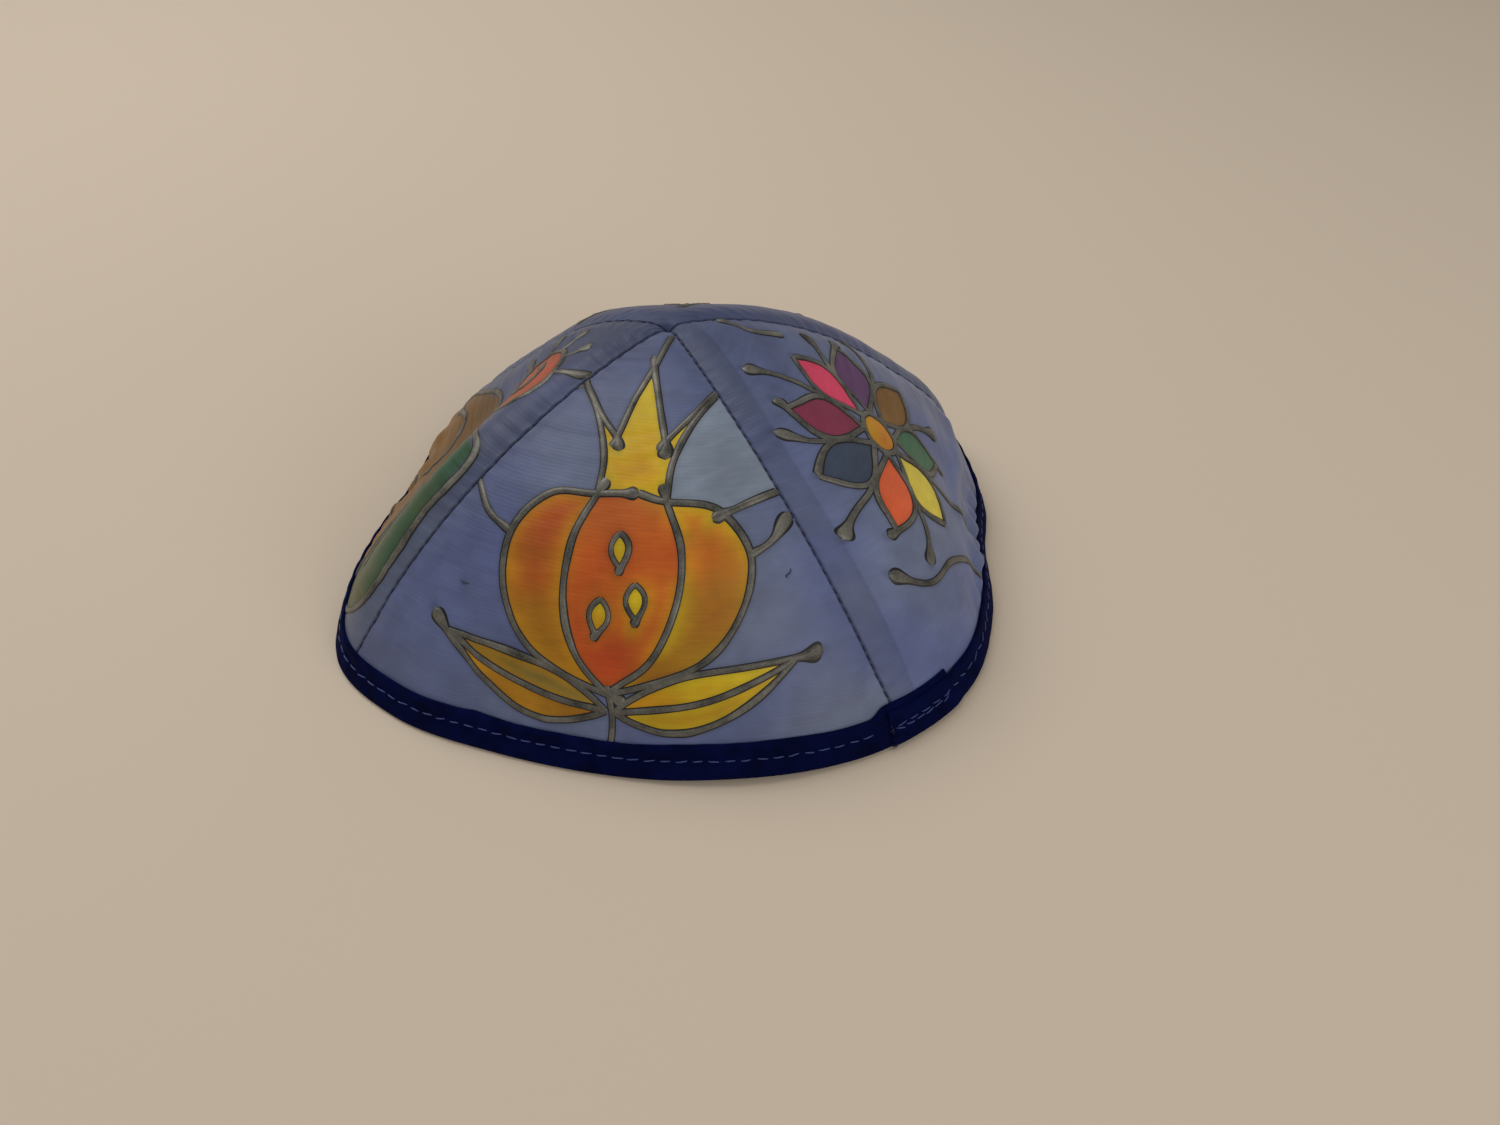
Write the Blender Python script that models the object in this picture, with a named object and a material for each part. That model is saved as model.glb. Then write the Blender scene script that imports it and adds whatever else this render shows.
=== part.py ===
"""Painted silk kippah: four silk gores sewn into a crown, and a bias tape folded over the rim.

Frame: metres, +Z up, the rim on z = 0 and the front gore towards -Y. The origin is the middle
of the whole piece's box, on the surface that it rests on. Azimuth 0 is +X and 90 is +Y.

Every point of the cloth has two coordinates. "around" runs 0 to 4, and its whole numbers are
the four seams: 0 front left, 1 front right, 2 back right, 3 back left. "share" runs down the
gore, from 0 at the apex to 1 at the folded edge of the tape.
"""
import bpy
import numpy as np

# Sizes of the finished piece
RIM_WIDTH = 0.176        # left to right, over the tape
RIM_DEPTH = 0.157        # front to back, over the tape
CROWN_HEIGHT = 0.064     # apex above the surface it rests on
CLOTH_WALL = 0.001
TAPE_WALL = 0.001
TAPE_HEIGHT = 0.0092     # finished height of the folded tape
SEW_GAP = 0.0003         # clearance between one cloth and the next

# The crown's arc: how far round a circle a gore runs from apex to rim before it is
# stretched to the piece's height and width
CROWN_ARC = np.radians(65.0)
APEX_ASIDE = -0.006      # share of RIM_WIDTH
APEX_BACK = 0.085        # share of RIM_DEPTH

# The tape's fold and its lapped ends
FOLD_ROUND = 0.001
CHANNEL_FLOOR = 0.0012   # tape under the silk's raw edge
LAP_STAND = 0.0006       # how far the upper tape stands off the lower one
LAP_RISE = 0.0018        # how far the lower tape peeps out above the upper one
LAP_FROM = 308.5         # azimuth of the upper tape's cut end
LAP_TO = 321.5           # azimuth of the lower tape's cut end
LAP_STEP = 0.4           # degrees over which each end steps down

SEAM_DIP = 0.0008        # depth of the valley along a seam
SEAM_REACH = 0.0035      # half width of that valley

# How finely each gore is divided
GORE_COLUMNS = 26
GORE_ROWS = 14
TIP_SHARE = 0.012        # where the gores' tips end, round the apex

# The rim's plan: reach is a share of the plain ellipse of RIM_WIDTH by RIM_DEPTH
RIM_PLAN = (
    # azimuth, reach
    (0.0, 0.972),
    (12.0, 1.030),
    (24.0, 1.075),
    (34.0, 1.125),
    (48.0, 1.115),
    (68.0, 1.040),
    (90.0, 1.005),
    (112.0, 1.010),
    (130.0, 1.040),
    (142.0, 1.055),
    (155.0, 1.000),
    (168.0, 0.957),
    (183.0, 0.995),
    (197.0, 1.055),
    (209.0, 1.100),
    (222.0, 1.075),
    (240.0, 1.010),
    (258.0, 0.990),
    (275.0, 1.008),
    (294.0, 1.040),
    (312.0, 1.065),
    (326.0, 1.063),
    (342.0, 1.010),
)

# Where each seam leaves the apex and where it meets the rim, in azimuth
SEAMS = (
    # name, at_rim, at_apex
    ("front_left", 211.0, 221.8),
    ("front_right", 311.0, 299.2),
    ("back_right", 383.2, 391.8),
    ("back_left", 503.0, 508.3),
)

# Stretches where the rim stands off the surface
LIFTS = (
    # azimuth, spread in degrees, rise as a share of CROWN_HEIGHT
    (283.0, 16.0, 0.020),
    (352.0, 11.0, 0.014),
)

# Broad hollows and swellings of the cloth, in or out across the surface
FORMS = (
    # azimuth, spread in degrees, share, spread in share, push as a share of CROWN_HEIGHT
    (177.0, 22.0, 0.60, 0.26, -0.135),
    (143.0, 16.0, 0.52, 0.22, -0.070),
    (206.0, 7.5, 0.62, 0.30, 0.032),
    (262.0, 26.0, 0.70, 0.24, 0.014),
    (2.0, 20.0, 0.72, 0.20, 0.006),
    (28.0, 9.0, 0.80, 0.14, 0.050),
    (90.0, 34.0, 0.60, 0.26, -0.030),
    (100.0, 60.0, 0.28, 0.18, -0.028),
)

# Long creases: from one place to another across the surface
CREASES = (
    # azimuth_from, share_from, azimuth_to, share_to, half width, rise (shares of CROWN_HEIGHT)
    (352.0, 0.80, 20.0, 0.80, 0.045, 0.014),
    (226.0, 0.66, 236.0, 0.90, 0.050, -0.014),
    (150.0, 0.86, 172.0, 0.84, 0.050, 0.012),
)

# Gathers: cloth eased into the tape, as waves that die out up the gore
GATHERS = (
    # azimuth_from, azimuth_to, number of waves, rise as a share of TAPE_HEIGHT
    (338.0, 366.0, 3, 0.085),
    (146.0, 186.0, 4, 0.100),
    (60.0, 120.0, 4, 0.070),
)
GATHER_RUN = 0.017       # how far up the gore a gather runs


def round_spline(azimuth, table):
    """Smooth closed curve through (azimuth, value) rows: cubic pieces with averaged slopes."""
    places = np.array([row[0] for row in table])
    values = np.array([row[1] for row in table])
    places = np.concatenate([places - 360, places, places + 360])
    values = np.tile(values, 3)
    slopes = np.gradient(values, places)
    azimuth = np.mod(azimuth, 360)
    left = np.clip(np.searchsorted(places, azimuth, side="right") - 1, 0, len(places) - 2)
    step = places[left + 1] - places[left]
    t = (azimuth - places[left]) / step
    rise = values[left + 1] - values[left]
    bend_left = slopes[left] * step - rise
    bend_right = rise - slopes[left + 1] * step
    ease = t * (1 - t)
    return values[left] + t * rise + ease * ((1 - t) * bend_left + t * bend_right)


def turn_between(azimuth, other):
    """Signed turn from one azimuth to another, in degrees, by the short way round."""
    return np.mod(azimuth - other + 180, 360) - 180


def bump(offset, spread):
    """Soft hump, 1 at no offset and about a third at one spread."""
    return np.exp(-np.square(offset / spread))


def apex_place():
    """Plan place of the apex, before the piece is centred on its box."""
    return np.array([APEX_ASIDE * RIM_WIDTH, APEX_BACK * RIM_DEPTH])


def rim_point(azimuth):
    """Plan place of the middle of the cloth at the rim, inside the tape's outer face."""
    angle = np.radians(azimuth)
    inset = 2 * (CLOTH_WALL / 2 + SEW_GAP + TAPE_WALL) * 0.8
    half_width = (RIM_WIDTH - inset) / 2
    half_depth = (RIM_DEPTH - inset) / 2
    ellipse = half_width * half_depth / np.hypot(half_depth * np.cos(angle),
                                                 half_width * np.sin(angle))
    reach = ellipse * round_spline(azimuth, RIM_PLAN)
    return np.stack([reach * np.cos(angle), reach * np.sin(angle)], axis=-1)


def rim_lift(azimuth):
    """Height of the tape's fold above the surface."""
    lift = sum(rise * bump(turn_between(azimuth, place), spread) for place, spread, rise in LIFTS)
    return np.maximum(lift - 0.002, 0) * CROWN_HEIGHT


def plain_crown(azimuth, share):
    """Crown without its hollows: a stretched circular arc from the apex to each rim point."""
    apex = apex_place()
    run = (np.sin(CROWN_ARC * share) / np.sin(CROWN_ARC))[..., None]
    plan = apex + run * (rim_point(azimuth) - apex)
    fall = (np.cos(CROWN_ARC * share) - np.cos(CROWN_ARC)) / (1 - np.cos(CROWN_ARC))
    lift = rim_lift(azimuth)
    top = CROWN_HEIGHT - CLOTH_WALL / 2
    return np.concatenate([plan, (lift + (top - lift) * fall)[..., None]], axis=-1)


def surface_normal(surface, azimuth, share):
    """Outward normal of a surface function, from steps in azimuth and down the gore."""
    turn = 0.5
    step = 0.01
    across = surface(azimuth + turn, share) - surface(azimuth - turn, share)
    down = surface(azimuth, share + step) - surface(azimuth, np.maximum(share - step, 0.001))
    normal = np.cross(down, across)
    return normal / np.linalg.norm(normal, axis=-1, keepdims=True)


def rim_rate(azimuth):
    """Metres down the gore for each unit of share, measured close to the rim."""
    step = 0.02
    ends = [plain_crown(azimuth, np.full_like(azimuth, place)) for place in (1 - step, 1.0)]
    return np.linalg.norm(ends[1] - ends[0], axis=-1) / step


def share_above_rim(azimuth, distance):
    """Share of the point that lies a distance up the gore from the tape's fold."""
    return 1 - distance / rim_rate(azimuth)


def seam_azimuth(around, share):
    """Azimuth at a place around and down: straight shares between the two seams beside it."""
    at_rim = np.array([row[1] for row in SEAMS] + [SEAMS[0][1] + 360])
    at_apex = np.array([row[2] for row in SEAMS] + [SEAMS[0][2] + 360])
    numbers = np.arange(len(SEAMS) + 1)
    rim = np.interp(around, numbers, at_rim)
    apex = np.interp(around, numbers, at_apex)
    return apex + (rim - apex) * share


def plan_reach(azimuth, share):
    """Distance in plan from the apex, the arm on which a turn in azimuth acts."""
    arm = np.linalg.norm(rim_point(azimuth) - apex_place(), axis=-1)
    return arm * np.sin(CROWN_ARC * share) / np.sin(CROWN_ARC)


def push_out(azimuth, share):
    """How far the cloth stands out from the plain crown, in metres."""
    total = np.zeros(np.broadcast(azimuth, share).shape)
    for place, spread, down, down_spread, push in FORMS:
        hump = bump(turn_between(azimuth, place), spread) * bump(share - down, down_spread)
        total += push * CROWN_HEIGHT * hump
    arm = plan_reach(azimuth, share)
    drop = rim_rate(azimuth)
    for start, start_share, end, end_share, width, rise in CREASES:
        span = turn_between(end, start)
        along = np.clip(turn_between(azimuth, start) / span, 0, 1)
        over = np.radians(turn_between(azimuth, start + along * span)) * arm
        below = (share - start_share - along * (end_share - start_share)) * drop
        total += rise * CROWN_HEIGHT * bump(np.hypot(over, below), width * CROWN_HEIGHT)
    above_tape = (share_above_rim(azimuth, TAPE_HEIGHT) - share) * drop
    for start, end, waves, rise in GATHERS:
        along = turn_between(azimuth, start) / (end - start)
        inside = np.where((along > 0) & (along < 1), np.sin(np.pi * np.clip(along, 0, 1)), 0)
        wave = np.sin(2 * np.pi * waves * along)
        climb = np.clip(above_tape / GATHER_RUN, 0, 1)
        fade = np.sin(np.pi * np.sqrt(climb)) ** 2
        total += rise * TAPE_HEIGHT * inside * wave * fade
    for number in range(len(SEAMS)):
        away = np.radians(turn_between(azimuth, seam_azimuth(number, share))) * arm
        total -= SEAM_DIP * bump(away, SEAM_REACH) * np.clip(above_tape / TAPE_HEIGHT, 0, 1)
    return total


def crown(azimuth, share):
    """Middle of the cloth: the plain crown pushed in or out along its own normal."""
    azimuth, share = np.broadcast_arrays(np.asarray(azimuth, float), np.asarray(share, float))
    normal = surface_normal(plain_crown, azimuth, share)
    return plain_crown(azimuth, share) + normal * push_out(azimuth, share)[..., None]


def offset_crown(azimuth, share, offset):
    """Surface at a distance outside the middle of the cloth (negative is inside)."""
    azimuth, share = np.broadcast_arrays(np.asarray(azimuth, float), np.asarray(share, float))
    normal = surface_normal(crown, azimuth, share)
    return crown(azimuth, share) + normal * np.asarray(offset)[..., None]


def make_object(name, points, faces, color, roughness):
    """New object from points and faces, shaded smooth with its sharp edges kept."""
    mesh = bpy.data.meshes.new(name)
    mesh.from_pydata(points.tolist(), [], faces.tolist())
    mesh.validate()
    mesh.shade_smooth()
    mesh.set_sharp_from_angle(angle=np.radians(50))
    material = bpy.data.materials.new(name + "_cloth")
    material.use_nodes = True
    shader = material.node_tree.nodes["Principled BSDF"]
    shader.inputs["Base Color"].default_value = (*color, 1)
    shader.inputs["Roughness"].default_value = roughness
    shader.inputs["Metallic"].default_value = 0
    material.diffuse_color = (*color, 1)
    mesh.materials.append(material)
    thing = bpy.data.objects.new(name, mesh)
    bpy.context.scene.collection.objects.link(thing)
    return thing


def grid_faces(rows, columns, start=0, flip=False):
    """Quads of a grid of points stored row by row."""
    corner = (np.arange(rows - 1)[:, None] * columns + np.arange(columns - 1)).ravel() + start
    faces = np.stack([corner, corner + columns, corner + columns + 1, corner + 1], axis=-1)
    return faces[:, ::-1] if flip else faces


def edge_faces(rows, columns):
    """Quads that close a wall between an outer grid and the inner grid stored after it."""
    index = np.arange(rows * columns).reshape(rows, columns)
    ring = np.concatenate([index[0, :-1], index[:-1, -1], index[-1, :0:-1], index[:0:-1, 0]])
    after = np.roll(ring, -1)
    inner = rows * columns
    return np.stack([ring, after, after + inner, ring + inner], axis=-1)


def gore_rows(azimuth):
    """Shares of a gore's rows: even steps to the tape, then two inside the tape's channel."""
    hem = CHANNEL_FLOOR + SEW_GAP
    tape_top = share_above_rim(azimuth, TAPE_HEIGHT)
    open_rows = TIP_SHARE + (tape_top - TIP_SHARE) * np.linspace(0, 1, GORE_ROWS)[:, None]
    middle = share_above_rim(azimuth, TAPE_HEIGHT / 2)
    end = share_above_rim(azimuth, hem)
    return np.concatenate([open_rows, middle[None], end[None]])


def gore(name, number, color):
    """One silk gore: a wall between two seams, from the apex down into the tape's channel."""
    around = np.linspace(number, number + 1, GORE_COLUMNS + 1)
    rows = gore_rows(seam_azimuth(around, 1.0))
    azimuth = seam_azimuth(around[None], rows)
    half_gap = np.degrees(SEW_GAP / 2 / plan_reach(azimuth, rows))
    azimuth[:, 0] += half_gap[:, 0]
    azimuth[:, -1] -= half_gap[:, -1]
    outer = offset_crown(azimuth, rows, CLOTH_WALL / 2)
    inner = offset_crown(azimuth, rows, -CLOTH_WALL / 2)
    count, columns = azimuth.shape
    points = np.concatenate([outer.reshape(-1, 3), inner.reshape(-1, 3)])
    faces = np.concatenate([grid_faces(count, columns),
                            grid_faces(count, columns, start=count * columns, flip=True),
                            edge_faces(count, columns)])
    return make_object(name, points, faces, color, 0.55)


def tape_stations():
    """Places around the rim where the tape has a section: the gores' columns and the lap's ends."""
    around = np.linspace(0, len(SEAMS), GORE_COLUMNS * len(SEAMS) + 1)[:-1]
    ends = [end + side for end in (LAP_FROM, LAP_TO) for side in (-LAP_STEP / 2, LAP_STEP / 2)]
    lap_places = np.interp(ends, seam_azimuth(around, 1.0), around)
    return np.sort(np.concatenate([around, lap_places]))


def tape_profile(lap):
    """Section of the folded tape: rows of (height above the fold, offset from the silk).

    The order is down the outer leg, under the fold, up the inner leg and back down and up the
    channel that holds the silk. lap is 0 on single tape and 1 where the two ends overlap.
    """
    inside = CLOTH_WALL / 2 + SEW_GAP
    outside = inside + TAPE_WALL
    middle = inside + TAPE_WALL / 2
    shoulder = TAPE_HEIGHT - TAPE_WALL / 3
    half = TAPE_HEIGHT / 2
    one = np.ones_like(lap)
    rows = (
        (TAPE_HEIGHT + LAP_RISE * lap, middle * one),
        (shoulder * one, outside + LAP_STAND * lap),
        (half * one, outside + LAP_STAND * lap),
        (FOLD_ROUND * one, outside + LAP_STAND * lap),
        (0 * one, (outside - FOLD_ROUND * 0.6) * one),
        (0 * one, -(outside - FOLD_ROUND * 0.6) * one),
        (FOLD_ROUND * one, -outside * one),
        (half * one, -outside * one),
        (shoulder * one, -outside * one),
        (TAPE_HEIGHT * one, -middle * one),
        (shoulder * one, -inside * one),
        (half * one, -inside * one),
        (CHANNEL_FLOOR * one, -inside * one),
        (CHANNEL_FLOOR * one, inside * one),
        (half * one, inside * one),
        (shoulder * one, inside * one),
    )
    heights = np.array([row[0] for row in rows])
    offsets = np.array([row[1] for row in rows])
    return heights, offsets


def rim_tape(name, color):
    """The folded tape: its section carried round the rim, flat where it rests."""
    around = tape_stations()
    azimuth = seam_azimuth(around, 1.0)
    inside_lap = (azimuth > LAP_FROM) & (azimuth < LAP_TO)
    heights, offsets = tape_profile(inside_lap.astype(float))
    share = share_above_rim(azimuth[None], heights)
    points = offset_crown(seam_azimuth(around[None], share), share, offsets)
    lift = rim_lift(azimuth)[None]
    points[..., 2] = np.where(heights == 0, lift, np.maximum(points[..., 2], lift))
    count, columns = heights.shape
    index = np.arange(count * columns).reshape(count, columns)
    below = np.roll(index, -1, axis=0)
    faces = np.stack([index, below, np.roll(below, -1, axis=1), np.roll(index, -1, axis=1)], axis=-1)
    return make_object(name, points.reshape(-1, 3), faces.reshape(-1, 4), color, 0.7)


def centre_on_box(things):
    """Move every mesh so that the origin is the middle of the whole box, on its lowest point."""
    places = []
    for thing in things:
        flat = np.empty(len(thing.data.vertices) * 3)
        thing.data.vertices.foreach_get("co", flat)
        places.append(flat.reshape(-1, 3))
    every = np.concatenate(places)
    low = every.min(axis=0)
    high = every.max(axis=0)
    centre = np.array([(low[0] + high[0]) / 2, (low[1] + high[1]) / 2, low[2]])
    for thing, place in zip(things, places):
        thing.data.vertices.foreach_set("co", (place - centre).ravel())
        thing.data.update()


GORES = (
    # name, number of the seam on its left, colour of its paint
    ("panel_front", 0, (0.42, 0.26, 0.05)),
    ("panel_right", 1, (0.33, 0.28, 0.20)),
    ("panel_back", 2, (0.11, 0.15, 0.32)),
    ("panel_left", 3, (0.16, 0.15, 0.10)),
)


def main():
    for thing in list(bpy.data.objects):
        bpy.data.objects.remove(thing, do_unlink=True)
    things = [gore(name, number, color) for name, number, color in GORES]
    things.append(rim_tape("rim_binding", (0.008, 0.014, 0.075)))
    centre_on_box(things)


main()
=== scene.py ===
# %% [markdown]
# # A hand painted silk kippah
# A kippah of this kind is four silk gores sewn together, with a cotton bias tape folded over
# the raw rim. The silk is painted flat: a line of gutta, a rubbery resist, is drawn first, and
# the dye then flows up to it and stops. This lesson builds each of those things in that order.
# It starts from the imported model, a fixed frame in metres that nothing here moves or resizes.

# %% Load the frame
import bpy
import numpy as np
from mathutils import Matrix, Vector


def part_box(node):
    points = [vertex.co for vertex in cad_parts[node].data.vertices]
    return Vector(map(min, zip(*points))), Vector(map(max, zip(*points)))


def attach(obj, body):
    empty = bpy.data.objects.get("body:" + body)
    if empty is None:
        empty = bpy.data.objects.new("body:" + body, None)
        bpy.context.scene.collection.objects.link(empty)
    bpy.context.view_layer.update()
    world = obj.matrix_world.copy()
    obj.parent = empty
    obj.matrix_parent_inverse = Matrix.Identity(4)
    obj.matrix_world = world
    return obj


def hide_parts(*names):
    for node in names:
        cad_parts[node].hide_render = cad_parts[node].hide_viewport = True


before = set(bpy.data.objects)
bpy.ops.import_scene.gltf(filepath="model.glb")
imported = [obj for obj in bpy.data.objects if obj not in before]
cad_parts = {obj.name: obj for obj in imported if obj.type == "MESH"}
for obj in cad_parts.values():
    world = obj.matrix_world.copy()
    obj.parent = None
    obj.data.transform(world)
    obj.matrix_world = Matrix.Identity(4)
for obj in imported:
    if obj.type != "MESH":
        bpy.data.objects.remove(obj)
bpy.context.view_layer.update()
MM = 0.001
print("nodes:", ", ".join(sorted(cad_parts)))


def new_object(name, data):
    """Object with this data, put in the scene."""
    made = bpy.data.objects.new(name, data)
    bpy.context.scene.collection.objects.link(made)
    return made



# %% [markdown]
# ## The form of the crown
# Every point of the cloth has two coordinates: an azimuth, and a share of the way from the
# apex to the rim. A plain crown is a circular arc for each azimuth, stretched to the rim's
# reach there. Hollows, creases and gathers then push that surface in or out along its own
# normal. The tables are the same design values as the model's, so that the silk made here
# lies in the space that the solid gores hold.

# %% Sizes and tables of the form
RIM_WIDTH = 176 * MM
RIM_DEPTH = 157 * MM
CROWN_HEIGHT = 64 * MM
TAPE_HEIGHT = 9.2 * MM
SOLID_WALL = 1 * MM
SOLID_GAP = 0.3 * MM
CROWN_ARC = np.radians(65.0)
APEX = np.array([-0.006 * RIM_WIDTH, 0.085 * RIM_DEPTH])
SEAM_DIP = 0.8 * MM
SEAM_REACH = 3.5 * MM
GATHER_RUN = 17 * MM

RIM_PLAN = (
    # azimuth, share of the plain ellipse's reach
    (0, 0.972), (12, 1.030), (24, 1.075), (34, 1.125), (48, 1.115), (68, 1.040), (90, 1.005),
    (112, 1.010), (130, 1.040), (142, 1.055), (155, 1.000), (168, 0.957), (183, 0.995),
    (197, 1.055), (209, 1.100), (222, 1.075), (240, 1.010), (258, 0.990), (275, 1.008),
    (294, 1.040), (312, 1.065), (326, 1.063), (342, 1.010),
)
GORES = ("front", "right", "back", "left")
SEAMS_AT_RIM = (211.0, 311.0, 383.2, 503.0, 571.0)
SEAMS_AT_APEX = (221.8, 299.2, 391.8, 508.3, 581.8)
LIFTS = (
    # azimuth, spread, rise as a share of the height
    (283, 16, 0.020),
    (352, 11, 0.014),
)
FORMS = (
    # azimuth, spread, share, spread in share, push as a share of the height
    (177, 22.0, 0.60, 0.26, -0.135),
    (143, 16.0, 0.52, 0.22, -0.070),
    (206, 7.5, 0.62, 0.30, 0.032),
    (262, 26.0, 0.70, 0.24, 0.014),
    (2, 20.0, 0.72, 0.20, 0.006),
    (28, 9.0, 0.80, 0.14, 0.050),
    (90, 34.0, 0.60, 0.26, -0.030),
    (100, 60.0, 0.28, 0.18, -0.028),
)
CREASES = (
    # azimuth and share at one end, then at the other, half width, rise (shares of the height)
    (352, 0.80, 20, 0.80, 0.045, 0.014),
    (226, 0.66, 236, 0.90, 0.085, -0.010),
    (150, 0.86, 172, 0.84, 0.050, 0.012),
)
GATHERS = (
    # from azimuth, to azimuth, waves, rise as a share of the tape's height, run up the gore
    (338, 366, 3, 0.085, GATHER_RUN),
    (146, 186, 4, 0.100, GATHER_RUN),
    (60, 120, 4, 0.070, GATHER_RUN),
    (334, 374, 9, 0.140, 9 * MM),
    (142, 200, 15, 0.055, 9 * MM),
    (36, 130, 21, 0.050, 9 * MM),
    (222, 300, 15, 0.016, 8 * MM),
)


def turn_between(azimuth, other):
    """Signed turn from one azimuth to another, in degrees, by the short way round."""
    return np.mod(azimuth - other + 180, 360) - 180


def bump(offset, spread):
    """Soft hump: e to the power of minus the square of offset over spread."""
    return np.exp(-np.square(offset / spread))


def round_spline(azimuth, table):
    """Closed cubic curve through the rows, each slope being the average of its neighbours'."""
    places = np.array([row[0] for row in table], float)
    values = np.array([row[1] for row in table])
    places = np.concatenate([places - 360, places, places + 360])
    values = np.tile(values, 3)
    slopes = np.gradient(values, places)
    azimuth = np.mod(azimuth, 360)
    left = np.clip(np.searchsorted(places, azimuth, side="right") - 1, 0, len(places) - 2)
    step = places[left + 1] - places[left]
    t = (azimuth - places[left]) / step
    rise = values[left + 1] - values[left]
    bend = (1 - t) * (slopes[left] * step - rise) + t * (rise - slopes[left + 1] * step)
    return values[left] + t * rise + t * (1 - t) * bend


def rim_point(azimuth):
    """Plan place of the silk at the rim: the ellipse's radius at this azimuth times its share."""
    angle = np.radians(azimuth)
    inset = 1.6 * (SOLID_WALL / 2 + SOLID_GAP + SOLID_WALL)
    half_x = (RIM_WIDTH - inset) / 2
    half_y = (RIM_DEPTH - inset) / 2
    ellipse = half_x * half_y / np.hypot(half_y * np.cos(angle), half_x * np.sin(angle))
    reach = ellipse * round_spline(azimuth, RIM_PLAN)
    return np.stack([reach * np.cos(angle), reach * np.sin(angle)], axis=-1)


def rim_lift(azimuth):
    """Height of the tape's fold above what it rests on: two soft humps, cut off at nothing."""
    lift = sum(rise * bump(turn_between(azimuth, place), spread) for place, spread, rise in LIFTS)
    return np.maximum(lift - 0.002, 0) * CROWN_HEIGHT


def plain_crown(azimuth, share):
    """Arc from apex to rim: sine of the turned angle runs outwards, its cosine runs down."""
    run = (np.sin(CROWN_ARC * share) / np.sin(CROWN_ARC))[..., None]
    plan = APEX + run * (rim_point(azimuth) - APEX)
    fall = (np.cos(CROWN_ARC * share) - np.cos(CROWN_ARC)) / (1 - np.cos(CROWN_ARC))
    lift = rim_lift(azimuth)
    top = CROWN_HEIGHT - SOLID_WALL / 2
    return np.concatenate([plan, (lift + (top - lift) * fall)[..., None]], axis=-1)


def surface_normal(surface, azimuth, share):
    """Outward normal: the cross product of a step down the gore and a step around it."""
    across = surface(azimuth + 0.5, share) - surface(azimuth - 0.5, share)
    down = surface(azimuth, share + 0.01) - surface(azimuth, np.maximum(share - 0.01, 0.001))
    normal = np.cross(down, across)
    return normal / np.linalg.norm(normal, axis=-1, keepdims=True)


def rim_rate(azimuth):
    """Metres down the gore for each unit of share, close to the rim."""
    ends = [plain_crown(azimuth, np.full_like(azimuth, place)) for place in (0.98, 1.0)]
    return np.linalg.norm(ends[1] - ends[0], axis=-1) / 0.02


def seam_azimuth(around, share):
    """Azimuth at a place around (0 to 4, seams at whole numbers) and down the gore."""
    rim = np.interp(around, np.arange(5), SEAMS_AT_RIM)
    apex = np.interp(around, np.arange(5), SEAMS_AT_APEX)
    return apex + (rim - apex) * share


def plan_reach(azimuth, share):
    """Distance in plan from the apex."""
    arm = np.linalg.norm(rim_point(azimuth) - APEX, axis=-1)
    return arm * np.sin(CROWN_ARC * share) / np.sin(CROWN_ARC)


def push_out(azimuth, share):
    """Sum of the broad forms, the creases, the gathers above the tape and the seam valleys."""
    total = np.zeros(azimuth.shape)
    for place, spread, down, down_spread, push in FORMS:
        hump = bump(turn_between(azimuth, place), spread) * bump(share - down, down_spread)
        total += push * CROWN_HEIGHT * hump
    arm = plan_reach(azimuth, share)
    drop = rim_rate(azimuth)
    for start, start_share, end, end_share, width, rise in CREASES:
        span = turn_between(end, start)
        along = np.clip(turn_between(azimuth, start) / span, 0, 1)
        over = np.radians(turn_between(azimuth, start + along * span)) * arm
        below = (share - start_share - along * (end_share - start_share)) * drop
        total += rise * CROWN_HEIGHT * bump(np.hypot(over, below), width * CROWN_HEIGHT)
    above_tape = (1 - share) * drop - TAPE_HEIGHT
    for start, end, waves, rise, run in GATHERS:
        along = turn_between(azimuth, start) / (end - start)
        inside = np.where((along > 0) & (along < 1), np.sin(np.pi * np.clip(along, 0, 1)), 0)
        fade = np.sin(np.pi * np.sqrt(np.clip(above_tape / run, 0, 1))) ** 2
        total += rise * TAPE_HEIGHT * inside * np.sin(2 * np.pi * waves * along) * fade
    for number in range(4):
        away = np.radians(turn_between(azimuth, seam_azimuth(number, share))) * arm
        total -= SEAM_DIP * bump(away, SEAM_REACH) * np.clip(above_tape / TAPE_HEIGHT, 0, 1)
    return total


def crown(azimuth, share):
    """The plain crown pushed in or out along its own normal."""
    azimuth, share = np.broadcast_arrays(np.asarray(azimuth, float), np.asarray(share, float))
    normal = surface_normal(plain_crown, azimuth, share)
    return plain_crown(azimuth, share) + normal * push_out(azimuth, share)[..., None]


def off_crown(azimuth, share, offset):
    """A point at a distance outside the crown, before it is centred on the model's origin."""
    azimuth, share = np.broadcast_arrays(np.asarray(azimuth, float), np.asarray(share, float))
    normal = surface_normal(crown, azimuth, share)
    return crown(azimuth, share) + normal * np.asarray(offset)[..., None]


def centre_of_model():
    """How far the solid gores lie from these formulas, which start from the rim's ellipse."""
    around = np.linspace(0, 4, 105)[None]
    share = np.linspace(0.012, 1, 40)[:, None]
    points = off_crown(seam_azimuth(around, share), share, np.full((40, 105), SOLID_WALL / 2))
    keep = points[(1 - share) * np.ones_like(around) > 0.01]
    boxes = np.array([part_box(f"panel_{name}") for name in GORES])
    low = boxes[:, 0].min(axis=0)
    high = boxes[:, 1].max(axis=0)
    middle = (keep.min(axis=0) + keep.max(axis=0)) / 2
    return np.array([*((low + high) / 2 - middle)[:2], high[2] - keep[:, 2].max()])


CENTRE = centre_of_model()
print("the model's origin lies", np.round(CENTRE / MM, 2), "mm from the ellipse's centre")

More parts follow.
